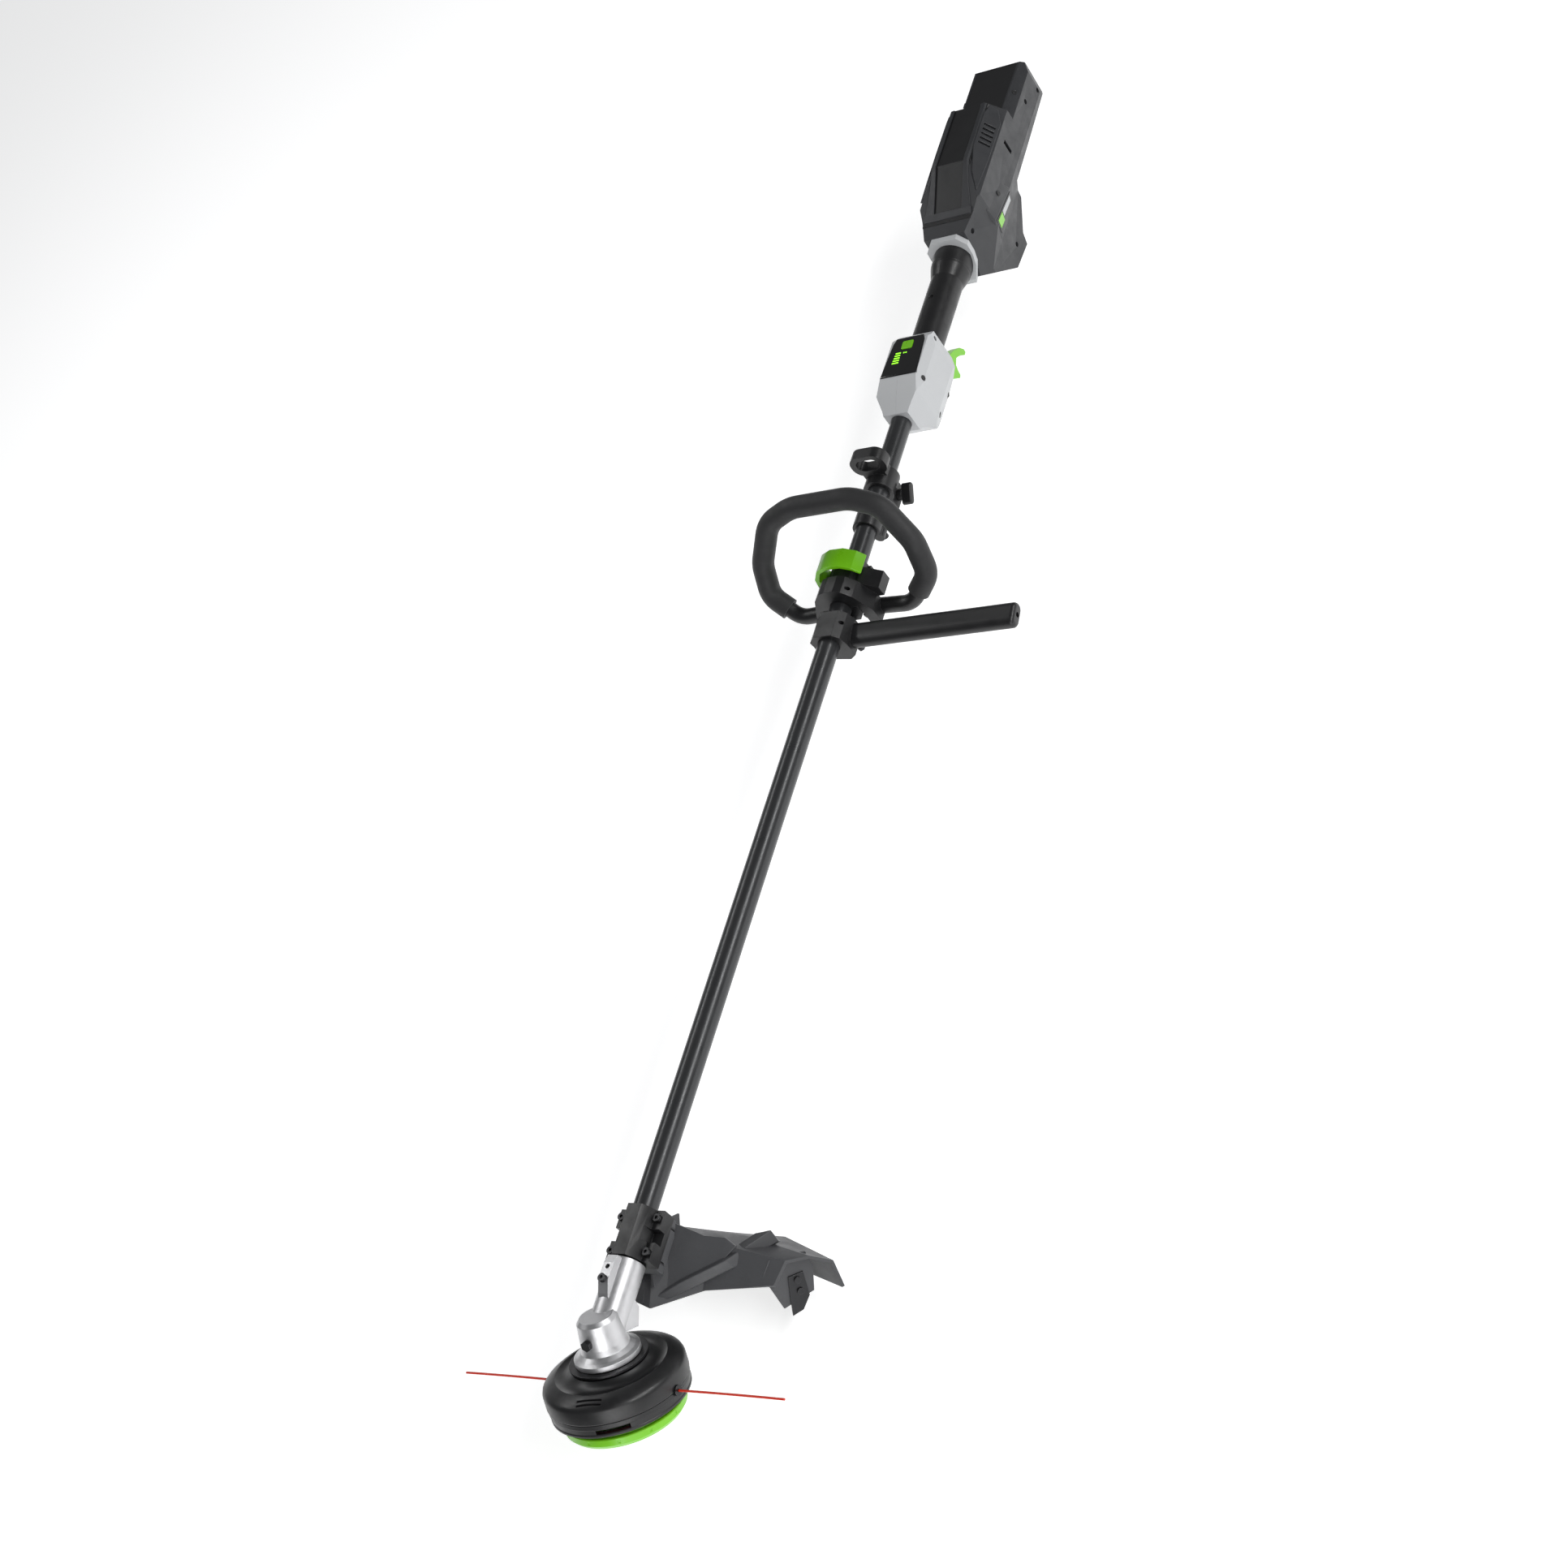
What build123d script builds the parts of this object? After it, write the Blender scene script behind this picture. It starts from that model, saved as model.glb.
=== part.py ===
"""Battery string trimmer with a bevel gear head, front loop handle and rear power unit (millimetres).

Row frame: +X runs along the shaft from the cutting head to the battery end, +Z is the tool's top side and
+Y the operator's right. The origin is the centre of the harness hanger's eye. Every sketch is drawn in
datum coordinates measured from the gear apex, where the shaft axis meets the spin axis of the head.
"""
import os
from math import atan2, cos, degrees, hypot, pi, radians, sin, tan

from build123d import *

os.makedirs("parts", exist_ok=True)

# ---------------------------------------------------------------- driving dimensions
EYE_X = 1074.0            # gear apex to hanger eye, along the shaft
EYE_Z = 33.5              # shaft axis to hanger eye
HEAD_TILT = 55.0          # spin axis above the shaft axis, degrees

TUBE_R = 12.7
TUBE_WALL = 1.5
TUBE_START, TUBE_END = 34.0, 1432.0
DRIVE_R = 4.0
SLIDE_GAP = 0.3           # between the tube and pieces that slide along it
RUN_GAP = 0.05            # radial clearance of a running fit
FIT = 0.15                # gap around a piece that drops into its seat

PINION_TEETH, GEAR_TEETH = 14, 20
CONE_R, FACE = 16.0, 5.0  # bevel gears: outer cone distance and face width

HEAD_LOW = -66.0
HEAD_R = 71.5
KNOB_R, KNOB_LOW = 61.5, -86.0
LINE_N, LINE_D, LINE_REACH = -52.0, 2.4, 195.0

GUARD_X0, GUARD_X1 = 79.0, 133.0
BAR_X0, BAR_X1 = 829.0, 871.0
CLAMP_X0, CLAMP_X1 = 881.0, 941.0
STOP_X0, STOP_X1 = 995.0, 1015.0
HANGER_X0, HANGER_X1 = 1053.0, 1095.0
CONTROL_X0, CONTROL_X1 = 1162.0, 1283.0
GRIP_X0, GRIP_X1 = 1283.5, 1416.0
GRIP_R, GRIP_WALL = 20.5, 2.6
WALL = 2.6                # moulded housing wall

# ---------------------------------------------------------------- datums
APEX = Vector(-EYE_X, 0, -EYE_Z)
NORMAL = Vector(cos(radians(HEAD_TILT)), 0, sin(radians(HEAD_TILT)))
OUTWARD = Vector(sin(radians(HEAD_TILT)), 0, -cos(radians(HEAD_TILT)))
SHAFT = Axis(APEX, (1, 0, 0))
SPIN = Axis(APEX, NORMAL)


def across(x):
    """Plane square to the shaft at distance x from the gear apex; sketch axes are Y and Z."""
    return Plane(origin=APEX + Vector(x, 0, 0), x_dir=(0, 1, 0), z_dir=(1, 0, 0))


def side(y=0.0):
    """Upright plane along the shaft; sketch axes are X and Z, and it extrudes towards -Y."""
    return Plane(origin=APEX + Vector(0, y, 0), x_dir=(1, 0, 0), z_dir=(0, -1, 0))


def over(z=0.0):
    """Level plane above the shaft axis; sketch axes are X and Y, and it extrudes upwards."""
    return Plane(origin=APEX + Vector(0, 0, z), x_dir=(1, 0, 0), z_dir=(0, 0, 1))


def head_at(n):
    """Plane square to the spin axis; sketch axes are the outward direction and +Y."""
    return Plane(origin=APEX + NORMAL * n, x_dir=OUTWARD, z_dir=NORMAL)


def head_profile():
    """Plane through the spin axis; sketch axes are the radius and the height along the axis."""
    return Plane(origin=APEX, x_dir=OUTWARD, z_dir=(0, -1, 0))


def mirrored(points):
    """Half outline with positive first coordinates, closed by its mirror image."""
    return points + [(-a, b) for a, b in reversed(points) if a > 0]


def save(builder, name):
    """Label a finished piece and write it."""
    builder.part.label = name
    export_step(builder.part, f"parts/{name}.step")


# ---------------------------------------------------------------- bevel gears
GEAR_CONE = degrees(
    atan2(sin(radians(180 - HEAD_TILT)), PINION_TEETH / GEAR_TEETH + cos(radians(180 - HEAD_TILT)))
)
PINION_CONE = 180 - HEAD_TILT - GEAR_CONE
MODULE = 2 * CONE_R * sin(radians(PINION_CONE)) / PINION_TEETH
ADDENDUM, DEDENDUM = 0.75 * MODULE, 1.05 * MODULE
BLANK_OVER = 0.6


def tooth_planes(axis_dir, radial_dir, cone):
    """Planes across one tooth at its large and small ends, square to the pitch cone's line."""
    line = axis_dir * cos(radians(cone)) + radial_dir * sin(radians(cone))
    tip = radial_dir * cos(radians(cone)) - axis_dir * sin(radians(cone))
    return [Plane(origin=APEX + line * r, x_dir=tip, z_dir=line) for r in (CONE_R, CONE_R - FACE)]


def tooth_outline(scale):
    """Half widths of a slim tooth at root, pitch and tip, scaled towards the apex."""
    root, pitch, tip = 0.74 * MODULE * scale, 0.60 * MODULE * scale, 0.36 * MODULE * scale
    low, high = -(DEDENDUM + 0.5) * scale, ADDENDUM * scale
    return [(low, -root), (0, -pitch), (high, -tip), (high, tip), (0, pitch), (low, root)]


def blank_outline(cone, back, hub_r):
    """Root-cone blank in (radius, height) with the apex at zero, a little longer than its teeth."""
    a = radians(cone)
    r_root = CONE_R * sin(a) - DEDENDUM * cos(a)
    h_root = CONE_R * cos(a) + DEDENDUM * sin(a)
    large, small = 1 + BLANK_OVER / CONE_R, (CONE_R - FACE - BLANK_OVER) / CONE_R
    return [(hub_r, h_root * small), (r_root * small, h_root * small), (r_root * large, h_root * large),
            (r_root * large, back), (hub_r, back)]


def bevel_gear(builder_axis, start_dir, teeth, cone, back, hub_r, phase):
    """Blank and teeth of one bevel gear about an axis through the apex."""
    cross = builder_axis.cross(start_dir)
    with BuildPart() as gear:
        with BuildSketch(Plane(origin=APEX, x_dir=start_dir, z_dir=start_dir.cross(builder_axis))):
            with BuildLine():
                Polyline(*blank_outline(cone, back, hub_r), close=True)
            make_face()
        revolve(axis=Axis(APEX, builder_axis))
        for i in range(teeth):
            turn = 2 * pi * (i + phase) / teeth
            radial = start_dir * cos(turn) + cross * sin(turn)
            large, small = tooth_planes(builder_axis, radial, cone)
            with BuildSketch(large):
                with BuildLine():
                    Polyline(*tooth_outline(1.0), close=True)
                make_face()
            with BuildSketch(small):
                with BuildLine():
                    Polyline(*tooth_outline((CONE_R - FACE) / CONE_R), close=True)
                make_face()
            loft()
    return gear


PINION_BACK, GEAR_BACK = 19.3, 9.5
pinion_gear = bevel_gear(Vector(1, 0, 0), Vector(0, 0, -1), PINION_TEETH, PINION_CONE, PINION_BACK, DRIVE_R, 0.0)
save(pinion_gear, "pinion_gear")
driven_gear = bevel_gear(-NORMAL, OUTWARD, GEAR_TEETH, GEAR_CONE, GEAR_BACK, 5.0, 0.5)
save(driven_gear, "driven_gear")

# ---------------------------------------------------------------- gear case, shaft and bearings
CASE_R, CASE_WALL = 22.0, 3.0
BEARING_OUT_R = 13.0
NECK_R = 18.5
NECK_END = 77.0
PINION_BEARING_X = (19.5, 27.5)          # start stations of the two pinion bearings
BEARING_W = 6.0

with BuildPart() as gear_case:
    with BuildSketch(head_profile()):
        with BuildLine():
            Polyline((0, -18.5), (33, -18.5), (33, -13.5), (29, -11.5), (24.5, -8), (23, -2), (20.5, 21),
                     (17, 25), (0, 25), close=True)
        make_face()
    revolve(axis=SPIN)
    with BuildSketch(across(0)):
        Circle(NECK_R)
    extrude(amount=NECK_END)
    for web_y in (-17.5, 14.5):
        with BuildSketch(side(web_y)):
            with BuildLine():
                Polyline((4, 0), (46, 0), (40, -16), (24, -24), close=True)
            make_face()
        extrude(amount=-3)
    with BuildSketch(side(0)):
        with BuildLine():
            Polyline((28, 14), (75, 14), (75, 24), (66, 26.5), (48, 26.5), (36, 20), close=True)
        make_face()
    extrude(amount=6, both=True)
    with BuildSketch(head_profile()):
        with BuildLine():
            Polyline((0, -19), (BEARING_OUT_R, -19), (BEARING_OUT_R, -11), (19.2, -10.8), (19.2, 10), (16, 19),
                     (0, 19), close=True)
        make_face()
    revolve(axis=SPIN, mode=Mode.SUBTRACT)
    with BuildSketch(across(0)):
        Circle(BEARING_OUT_R)
    extrude(amount=TUBE_START, mode=Mode.SUBTRACT)
    with BuildSketch(across(TUBE_START)):
        Circle(TUBE_R)
    extrude(amount=NECK_END, mode=Mode.SUBTRACT)
    with Locations(Plane(origin=APEX + Vector(49, 0, 40), z_dir=(0, 0, 1))):
        Hole(2.5, 40)
        with Locations((13, 0, 0)):
            Hole(2.5, 40)
    with Locations(Plane(origin=APEX - OUTWARD * 40 + NORMAL * 6, z_dir=OUTWARD)):
        Hole(4.0, 24)
save(gear_case, "gear_case")

with BuildPart() as grease_plug:
    with BuildSketch(Plane(origin=APEX - OUTWARD * 26.6 + NORMAL * 6, z_dir=OUTWARD)):
        RegularPolygon(5.6, 6)
    extrude(amount=3.6)
    with BuildSketch(Plane(origin=APEX - OUTWARD * 23.0 + NORMAL * 6, z_dir=OUTWARD)):
        Circle(3.9)
    extrude(amount=3.0)
save(grease_plug, "grease_plug")

MOTOR_BEARING_X = (1446.0, 1512.0)
with BuildPart() as ball_bearings:
    for x in PINION_BEARING_X:
        with BuildSketch(across(x)):
            Circle(BEARING_OUT_R)
            Circle(DRIVE_R + RUN_GAP, mode=Mode.SUBTRACT)
        extrude(amount=BEARING_W)
    with BuildSketch(head_at(-17.8)):
        Circle(BEARING_OUT_R)
        Circle(5.0 + RUN_GAP, mode=Mode.SUBTRACT)
    extrude(amount=BEARING_W)
    for x in MOTOR_BEARING_X:
        with BuildSketch(across(x)):
            Circle(11.0)
            Circle(DRIVE_R + RUN_GAP, mode=Mode.SUBTRACT)
        extrude(amount=BEARING_W)
save(ball_bearings, "ball_bearings")

with BuildPart() as shaft_tube:
    with BuildSketch(across(TUBE_START)):
        Circle(TUBE_R)
        Circle(TUBE_R - TUBE_WALL, mode=Mode.SUBTRACT)
    extrude(amount=TUBE_END - TUBE_START)
save(shaft_tube, "shaft_tube")

DRIVE_END = 1426.0
with BuildPart() as drive_shaft:
    with BuildSketch(across(9.5)):
        Circle(DRIVE_R)
    extrude(amount=DRIVE_END - 9.5)
save(drive_shaft, "drive_shaft")

BUSH_COUNT, BUSH_W = 6, 16.0
with BuildPart() as shaft_bushes:
    for i in range(BUSH_COUNT):
        with BuildSketch(across(120 + i * (TUBE_END - 260) / (BUSH_COUNT - 1))):
            Circle(TUBE_R - TUBE_WALL)
            Circle(DRIVE_R + RUN_GAP, mode=Mode.SUBTRACT)
        extrude(amount=BUSH_W)
save(shaft_bushes, "shaft_bushes")

with BuildPart() as output_shaft:
    with BuildSketch(head_at(-1.5)):
        Circle(5.0)
    extrude(amount=-50)
save(output_shaft, "output_shaft")

# ---------------------------------------------------------------- cutting head
with BuildPart() as dust_cover:
    with BuildSketch(head_at(-19.2)):
        Circle(39.5)
        Circle(5.0, mode=Mode.SUBTRACT)
    extrude(amount=-3.3)
    with BuildSketch(head_at(-22.5)):
        Circle(14.0)
        Circle(5.0, mode=Mode.SUBTRACT)
    extrude(amount=-3.5)
    chamfer(dust_cover.edges().filter_by(GeomType.CIRCLE).sort_by(SortBy.RADIUS)[-1], 1.0)
save(dust_cover, "dust_cover")

SPLIT_N = -57.0            # top and base of the head housing meet here
with BuildPart() as head_housing:
    with BuildSketch(head_profile()):
        with BuildLine():
            Polyline((5.0, -26), (14, -26), (36, -27.5), (44, -30.5), (49, -29), (60, -29.5), (68.5, -33.5),
                     (HEAD_R, -37), (70.6, SPLIT_N), (68.0, SPLIT_N), (68.6, -38), (66, -35.8), (58, -32.5),
                     (49, -32.2), (44, -33.6), (36, -30.6), (12, -30), (12, -37), (5.0, -37), close=True)
        make_face()
    revolve(axis=SPIN)
    for turn in (pi / 2, -pi / 2):
        exit_dir = OUTWARD * cos(turn) + Vector(0, 1, 0) * sin(turn)
        with BuildSketch(Plane(origin=APEX + NORMAL * LINE_N + exit_dir * 60, z_dir=exit_dir)):
            Circle(4.5)
        extrude(amount=16, mode=Mode.SUBTRACT)
save(head_housing, "head_housing")

WINDOWS = 6
with BuildPart() as head_base:
    with BuildSketch(head_profile()):
        with BuildLine():
            Polyline((61.0, HEAD_LOW), (68.5, HEAD_LOW), (70.0, -62), (70.2, SPLIT_N - 0.1), (66.2, SPLIT_N - 0.1),
                     (66.0, -61), (61.0, -62.5), close=True)
        make_face()
    revolve(axis=SPIN)
    with BuildSketch(head_profile()):
        with BuildLine():
            Polyline((66.1, SPLIT_N - 0.1), (67.6, SPLIT_N - 0.1), (67.6, -46), (66.1, -46), close=True)
        make_face()
    revolve(axis=SPIN)
    for turn in (pi / 2, -pi / 2):
        exit_dir = OUTWARD * cos(turn) + Vector(0, 1, 0) * sin(turn)
        with BuildSketch(Plane(origin=APEX + NORMAL * LINE_N + exit_dir * 58, z_dir=exit_dir)):
            Circle(4.5)
        extrude(amount=18, mode=Mode.SUBTRACT)
    for i in range(WINDOWS):
        turn = 2 * pi * (i + 0.5) / WINDOWS
        out_dir = OUTWARD * cos(turn) + Vector(0, 1, 0) * sin(turn)
        with BuildSketch(Plane(origin=APEX + NORMAL * -60.4 + out_dir * 56, x_dir=NORMAL, z_dir=out_dir)):
            Rectangle(4.4, 30)
        extrude(amount=20, mode=Mode.SUBTRACT)
save(head_base, "head_base")

with BuildPart() as line_eyelets:
    for turn in (pi / 2, -pi / 2):
        exit_dir = OUTWARD * cos(turn) + Vector(0, 1, 0) * sin(turn)
        with BuildSketch(Plane(origin=APEX + NORMAL * LINE_N + exit_dir * 65.2, z_dir=exit_dir)):
            Circle(4.4)
            Circle(1.8, mode=Mode.SUBTRACT)
        extrude(amount=7.0)
        with BuildSketch(Plane(origin=APEX + NORMAL * LINE_N + exit_dir * 72.2, z_dir=exit_dir)):
            Circle(5.4)
            Circle(1.8, mode=Mode.SUBTRACT)
        extrude(amount=1.2)
save(line_eyelets, "line_eyelets")

with BuildPart() as head_nut:
    with BuildSketch(head_at(-37.1)):
        RegularPolygon(9.0, 6)
        Circle(5.0, mode=Mode.SUBTRACT)
    extrude(amount=-7.5)
save(head_nut, "head_nut")

with BuildPart() as spool:
    with BuildSketch(head_profile()):
        with BuildLine():
            Polyline((13, -39), (52, -39), (52, -41), (30, -41), (30, -58.5), (52, -58.5), (52, -60.5), (13, -60.5),
                     (13, -57), (27, -57), (27, -42.5), (13, -42.5), close=True)
        make_face()
    revolve(axis=SPIN)
save(spool, "spool")

with BuildPart() as wound_line:
    with BuildSketch(head_profile()):
        with Locations((40, -49.75)):
            RectangleRounded(19.6, 17.0, 1.2)
    revolve(axis=SPIN)
save(wound_line, "wound_line")

with BuildPart() as bump_knob:
    with BuildSketch(head_profile()):
        with BuildLine():
            Polyline((0, KNOB_LOW), (53, KNOB_LOW), (58, KNOB_LOW + 1.8), (KNOB_R, KNOB_LOW + 6.0), (KNOB_R, -73.6),
                     (60.5, -72.6), (57.6, -72.6), (57.6, -70.8), (54.0, -67.2), (54.0, -70), (51.0, -81),
                     (11.6, -81), (11.6, -68), (9.0, -68), (9.0, -82.5), (0, -82.5), close=True)
        make_face()
    revolve(axis=SPIN)
    for i in range(12):
        turn = 2 * pi * i / 12
        out_dir = OUTWARD * cos(turn) + Vector(0, 1, 0) * sin(turn)
        with BuildSketch(Plane(origin=APEX + NORMAL * -77 + out_dir * (KNOB_R + 2.6), x_dir=NORMAL, z_dir=NORMAL.cross(out_dir))):
            Circle(3.2)
        extrude(amount=1.2, both=True, mode=Mode.SUBTRACT)
save(bump_knob, "bump_knob")

SPRING_TURNS, SPRING_WIRE = 5, 1.0
with BuildPart() as knob_spring:
    with BuildLine() as coil:
        Helix(pitch=18.0 / SPRING_TURNS, height=18.0, radius=16.0, center=APEX + NORMAL * -79.8, direction=NORMAL)
    with BuildSketch(Plane(origin=coil.line @ 0, z_dir=coil.line % 0)):
        Circle(SPRING_WIRE)
    sweep(is_frenet=True)
save(knob_spring, "knob_spring")

for side_name, sign in (("left", -1), ("right", 1)):
    start = APEX + NORMAL * LINE_N + Vector(0, sign * 73.6, 0)
    bend = start + Vector(0, sign * 60, 0) + OUTWARD * 1.2
    end = APEX + NORMAL * LINE_N + Vector(0, sign * LINE_REACH, 0)
    bend_half = (bend - start).get_angle(end - bend) / 2
    bend_r = 0.45 * (end - bend).length / tan(radians(bend_half))
    print("line bend radius", round(bend_r))
    with BuildPart() as line_end:
        with BuildLine() as route:
            FilletPolyline(start, bend, end, radius=bend_r)
        with BuildSketch(Plane(origin=start, z_dir=route.line % 0)):
            Circle(LINE_D / 2)
        sweep()
    save(line_end, f"line_end_{side_name}")

# ---------------------------------------------------------------- guard and its clamp
GUARD_WALL = 3.0
CAP_SCREW_Y, CAP_SCREW_X = 21.8, (88.0, 124.0)


def offset_polyline(points, distance):
    """Points moved sideways by a distance, with mitred corners."""
    normals = []
    for (ax, ay), (bx, by) in zip(points, points[1:]):
        run = hypot(bx - ax, by - ay)
        normals.append(((by - ay) / run, -(bx - ax) / run))
    moved = []
    for i, (x, y) in enumerate(points):
        nx0, ny0 = normals[max(i - 1, 0)]
        nx1, ny1 = normals[min(i, len(normals) - 1)]
        scale = distance / (1 + nx0 * nx1 + ny0 * ny1)
        moved.append((x + (nx0 + nx1) * scale, y + (ny0 + ny1) * scale))
    return moved


GUARD_SECTIONS = (   # angle towards +Y from the outward direction, then (radius, height) from fin to skirt
    (20, ((88, -8), (116, 34), (150, 26), (196, -6), (200, -34))),
    (0, ((74, -12), (115, 55), (160, 30), (214, -6), (219, -42))),
    (-20, ((118, -12), (142, 30), (182, 16), (226, -8), (231, -44))),
    (-41, ((172, -14), (190, 6), (214, 2), (236, -12), (240, -42))),
)
CUTTER_ANGLE, FIN_T = -37.0, 3.0
CUTTER_DIR = OUTWARD * cos(radians(CUTTER_ANGLE)) + Vector(0, 1, 0) * sin(radians(CUTTER_ANGLE))
CUTTER_PLANE = Plane(origin=APEX, x_dir=CUTTER_DIR, z_dir=CUTTER_DIR.cross(NORMAL))
CUTTER_SCREWS = ((198, -22), (198, -34))
with BuildPart() as guard:
    for angle, points in GUARD_SECTIONS:
        radial = OUTWARD * cos(radians(angle)) + Vector(0, 1, 0) * sin(radians(angle))
        outline = list(points) + offset_polyline(list(points), GUARD_WALL)[::-1]
        with BuildSketch(Plane(origin=APEX, x_dir=radial, z_dir=radial.cross(NORMAL))):
            with BuildLine():
                Polyline(*outline, close=True)
            make_face()
    loft(ruled=True)
    with BuildSketch(side(24)):
        with BuildLine():
            Polyline((GUARD_X0, -15), (GUARD_X1, -15), (GUARD_X1, -22), (118, -27), (GUARD_X0, -27), close=True)
        make_face()
    extrude(amount=48)
    for fin_y in (-10, 8):
        with BuildSketch(side(fin_y)):
            with BuildLine():
                Polyline((70, -38), (84, -26), (128, -26), (134, -22), (150, -40), (120, -60), close=True)
            make_face()
        extrude(amount=-2.5)
    with BuildSketch(CUTTER_PLANE):
        with BuildLine():
            Polyline((166, -6), (176, 8), (214, 2), (218, -14), (212, -40), (178, -46), close=True)
        make_face()
        with Locations(*CUTTER_SCREWS):
            Circle(1.9, mode=Mode.SUBTRACT)
    extrude(amount=FIN_T)
    with BuildSketch(across(GUARD_X0 - 40)):
        Circle(NECK_R + 1.2)
    extrude(amount=40 + GUARD_X1 - GUARD_X0 + 20, mode=Mode.SUBTRACT)
    with Locations(over(0)):
        with Locations(*[(x, y) for x in CAP_SCREW_X for y in (-CAP_SCREW_Y, CAP_SCREW_Y)]):
            Hole(2.6, 60)
save(guard, "guard")

with BuildPart() as guard_clamp:
    with BuildSketch(across(GUARD_X0)):
        with BuildLine():
            Polyline((TUBE_R + 4.5, 2), (TUBE_R + 2, 10), (8, 17.5), (-8, 17.5), (-TUBE_R - 2, 10), (-TUBE_R - 4.5, 2),
                     (-27, 2), (-27, -15), (27, -15), (27, 2), close=True)
        make_face()
        Circle(TUBE_R, mode=Mode.SUBTRACT)
    extrude(amount=GUARD_X1 - GUARD_X0)
    with BuildSketch(side(30)):
        with BuildLine():
            Polyline((99, -8), (113, -8), (113, 20), (99, 20), close=True)
        make_face()
    extrude(amount=16, mode=Mode.SUBTRACT)
    with BuildSketch(side(-14)):
        with BuildLine():
            Polyline((99, -8), (113, -8), (113, 20), (99, 20), close=True)
        make_face()
    extrude(amount=16, mode=Mode.SUBTRACT)
    with Locations(over(0)):
        with Locations(*[(x, y) for x in CAP_SCREW_X for y in (-CAP_SCREW_Y, CAP_SCREW_Y)]):
            Hole(2.6, 60)
save(guard_clamp, "guard_clamp")

CUTTER_T = 1.6
with BuildPart() as line_cutter:
    with BuildSketch(CUTTER_PLANE.offset(FIN_T)):
        with BuildLine():
            Polyline((190, -16), (206, -16), (206, -42), (196, -54), (184, -56), (186, -40), close=True)
        make_face()
        with Locations(*CUTTER_SCREWS):
            Circle(1.9, mode=Mode.SUBTRACT)
    extrude(amount=CUTTER_T)
save(line_cutter, "line_cutter")

# ---------------------------------------------------------------- front handle: clamp, loop, lever, barrier bar
LOOP_R, GRIP_OUT_R = 9.5, 13.0
LOOP_LEAN = Vector(sin(radians(27)), 0, cos(radians(27)))
LOOP_FOOT = APEX + Vector(904, 0, -20)
LOOP_PLANE = Plane(origin=LOOP_FOOT, x_dir=(0, 1, 0), z_dir=Vector(0, 1, 0).cross(LOOP_LEAN))
LOOP_HALF = ((28, -6), (76, -8), (107, 24), (103, 64), (76, 112), (40, 126), (0, 126))
LOOP_RADII = (26, 24, 40, 40, 60)
SADDLE_X1 = 904.0
JAW_BOLTS = ((890, -19.5), (898, 19.5))


def loop_route(points, radii):
    """Half of the loop's centre line, from the saddle over the tube to the top."""
    return FilletPolyline(*[LOOP_PLANE.from_local_coords((y, u)) for y, u in points], radius=list(radii))


with BuildPart() as loop_handle:
    with BuildLine() as half_loop:
        loop_route(LOOP_HALF, LOOP_RADII)
    with BuildSketch(Plane(origin=half_loop.line @ 0, z_dir=half_loop.line % 0)):
        Circle(LOOP_R)
    sweep()
    mirror(about=Plane.XZ)
    with BuildSketch(across(CLAMP_X0)):
        with BuildLine():
            Polyline(*mirrored([(24, 0.3), (24, -34), (34, -36), (39, -30), (38, -8), (31, 6), (25, 18), (15, 28), (6, 31)]),
                     close=True)
        make_face()
    extrude(amount=SADDLE_X1 - CLAMP_X0)
    with BuildSketch(across(SADDLE_X1 - 1)):
        with BuildLine():
            Polyline(*mirrored([(20, 0.3), (20, 12), (14, 20), (7, 23.5)]), close=True)
        make_face()
    extrude(amount=CLAMP_X1 - SADDLE_X1 + 1)
    with BuildSketch(across(SADDLE_X1 - 1)):
        with BuildLine():
            Polyline((-19, 0.3), (-19, 14), (-24, 15), (-46, 3), (-46, -11), (-24, -11), (-24, 0.3), close=True)
        make_face()
    extrude(amount=24)
    with BuildSketch(across(CLAMP_X0 - 20)):
        Circle(TUBE_R + SLIDE_GAP)
    extrude(amount=100, mode=Mode.SUBTRACT)
    for x, y in JAW_BOLTS:
        with Locations(Plane(origin=APEX + Vector(x, y, 0), z_dir=(0, 0, 1))):
            Hole(2.5, 60)
save(loop_handle, "loop_handle")

GRIP_HALF = ((88, 4.387), *LOOP_HALF[2:])
with BuildPart() as loop_grips:
    with BuildLine() as half_grip:
        loop_route(GRIP_HALF, LOOP_RADII[1:])
    with BuildSketch(Plane(origin=half_grip.line @ 0, z_dir=half_grip.line % 0)):
        Circle(GRIP_OUT_R)
        Circle(LOOP_R, mode=Mode.SUBTRACT)
    sweep()
    mirror(about=Plane.XZ)
save(loop_grips, "loop_grips")

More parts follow.
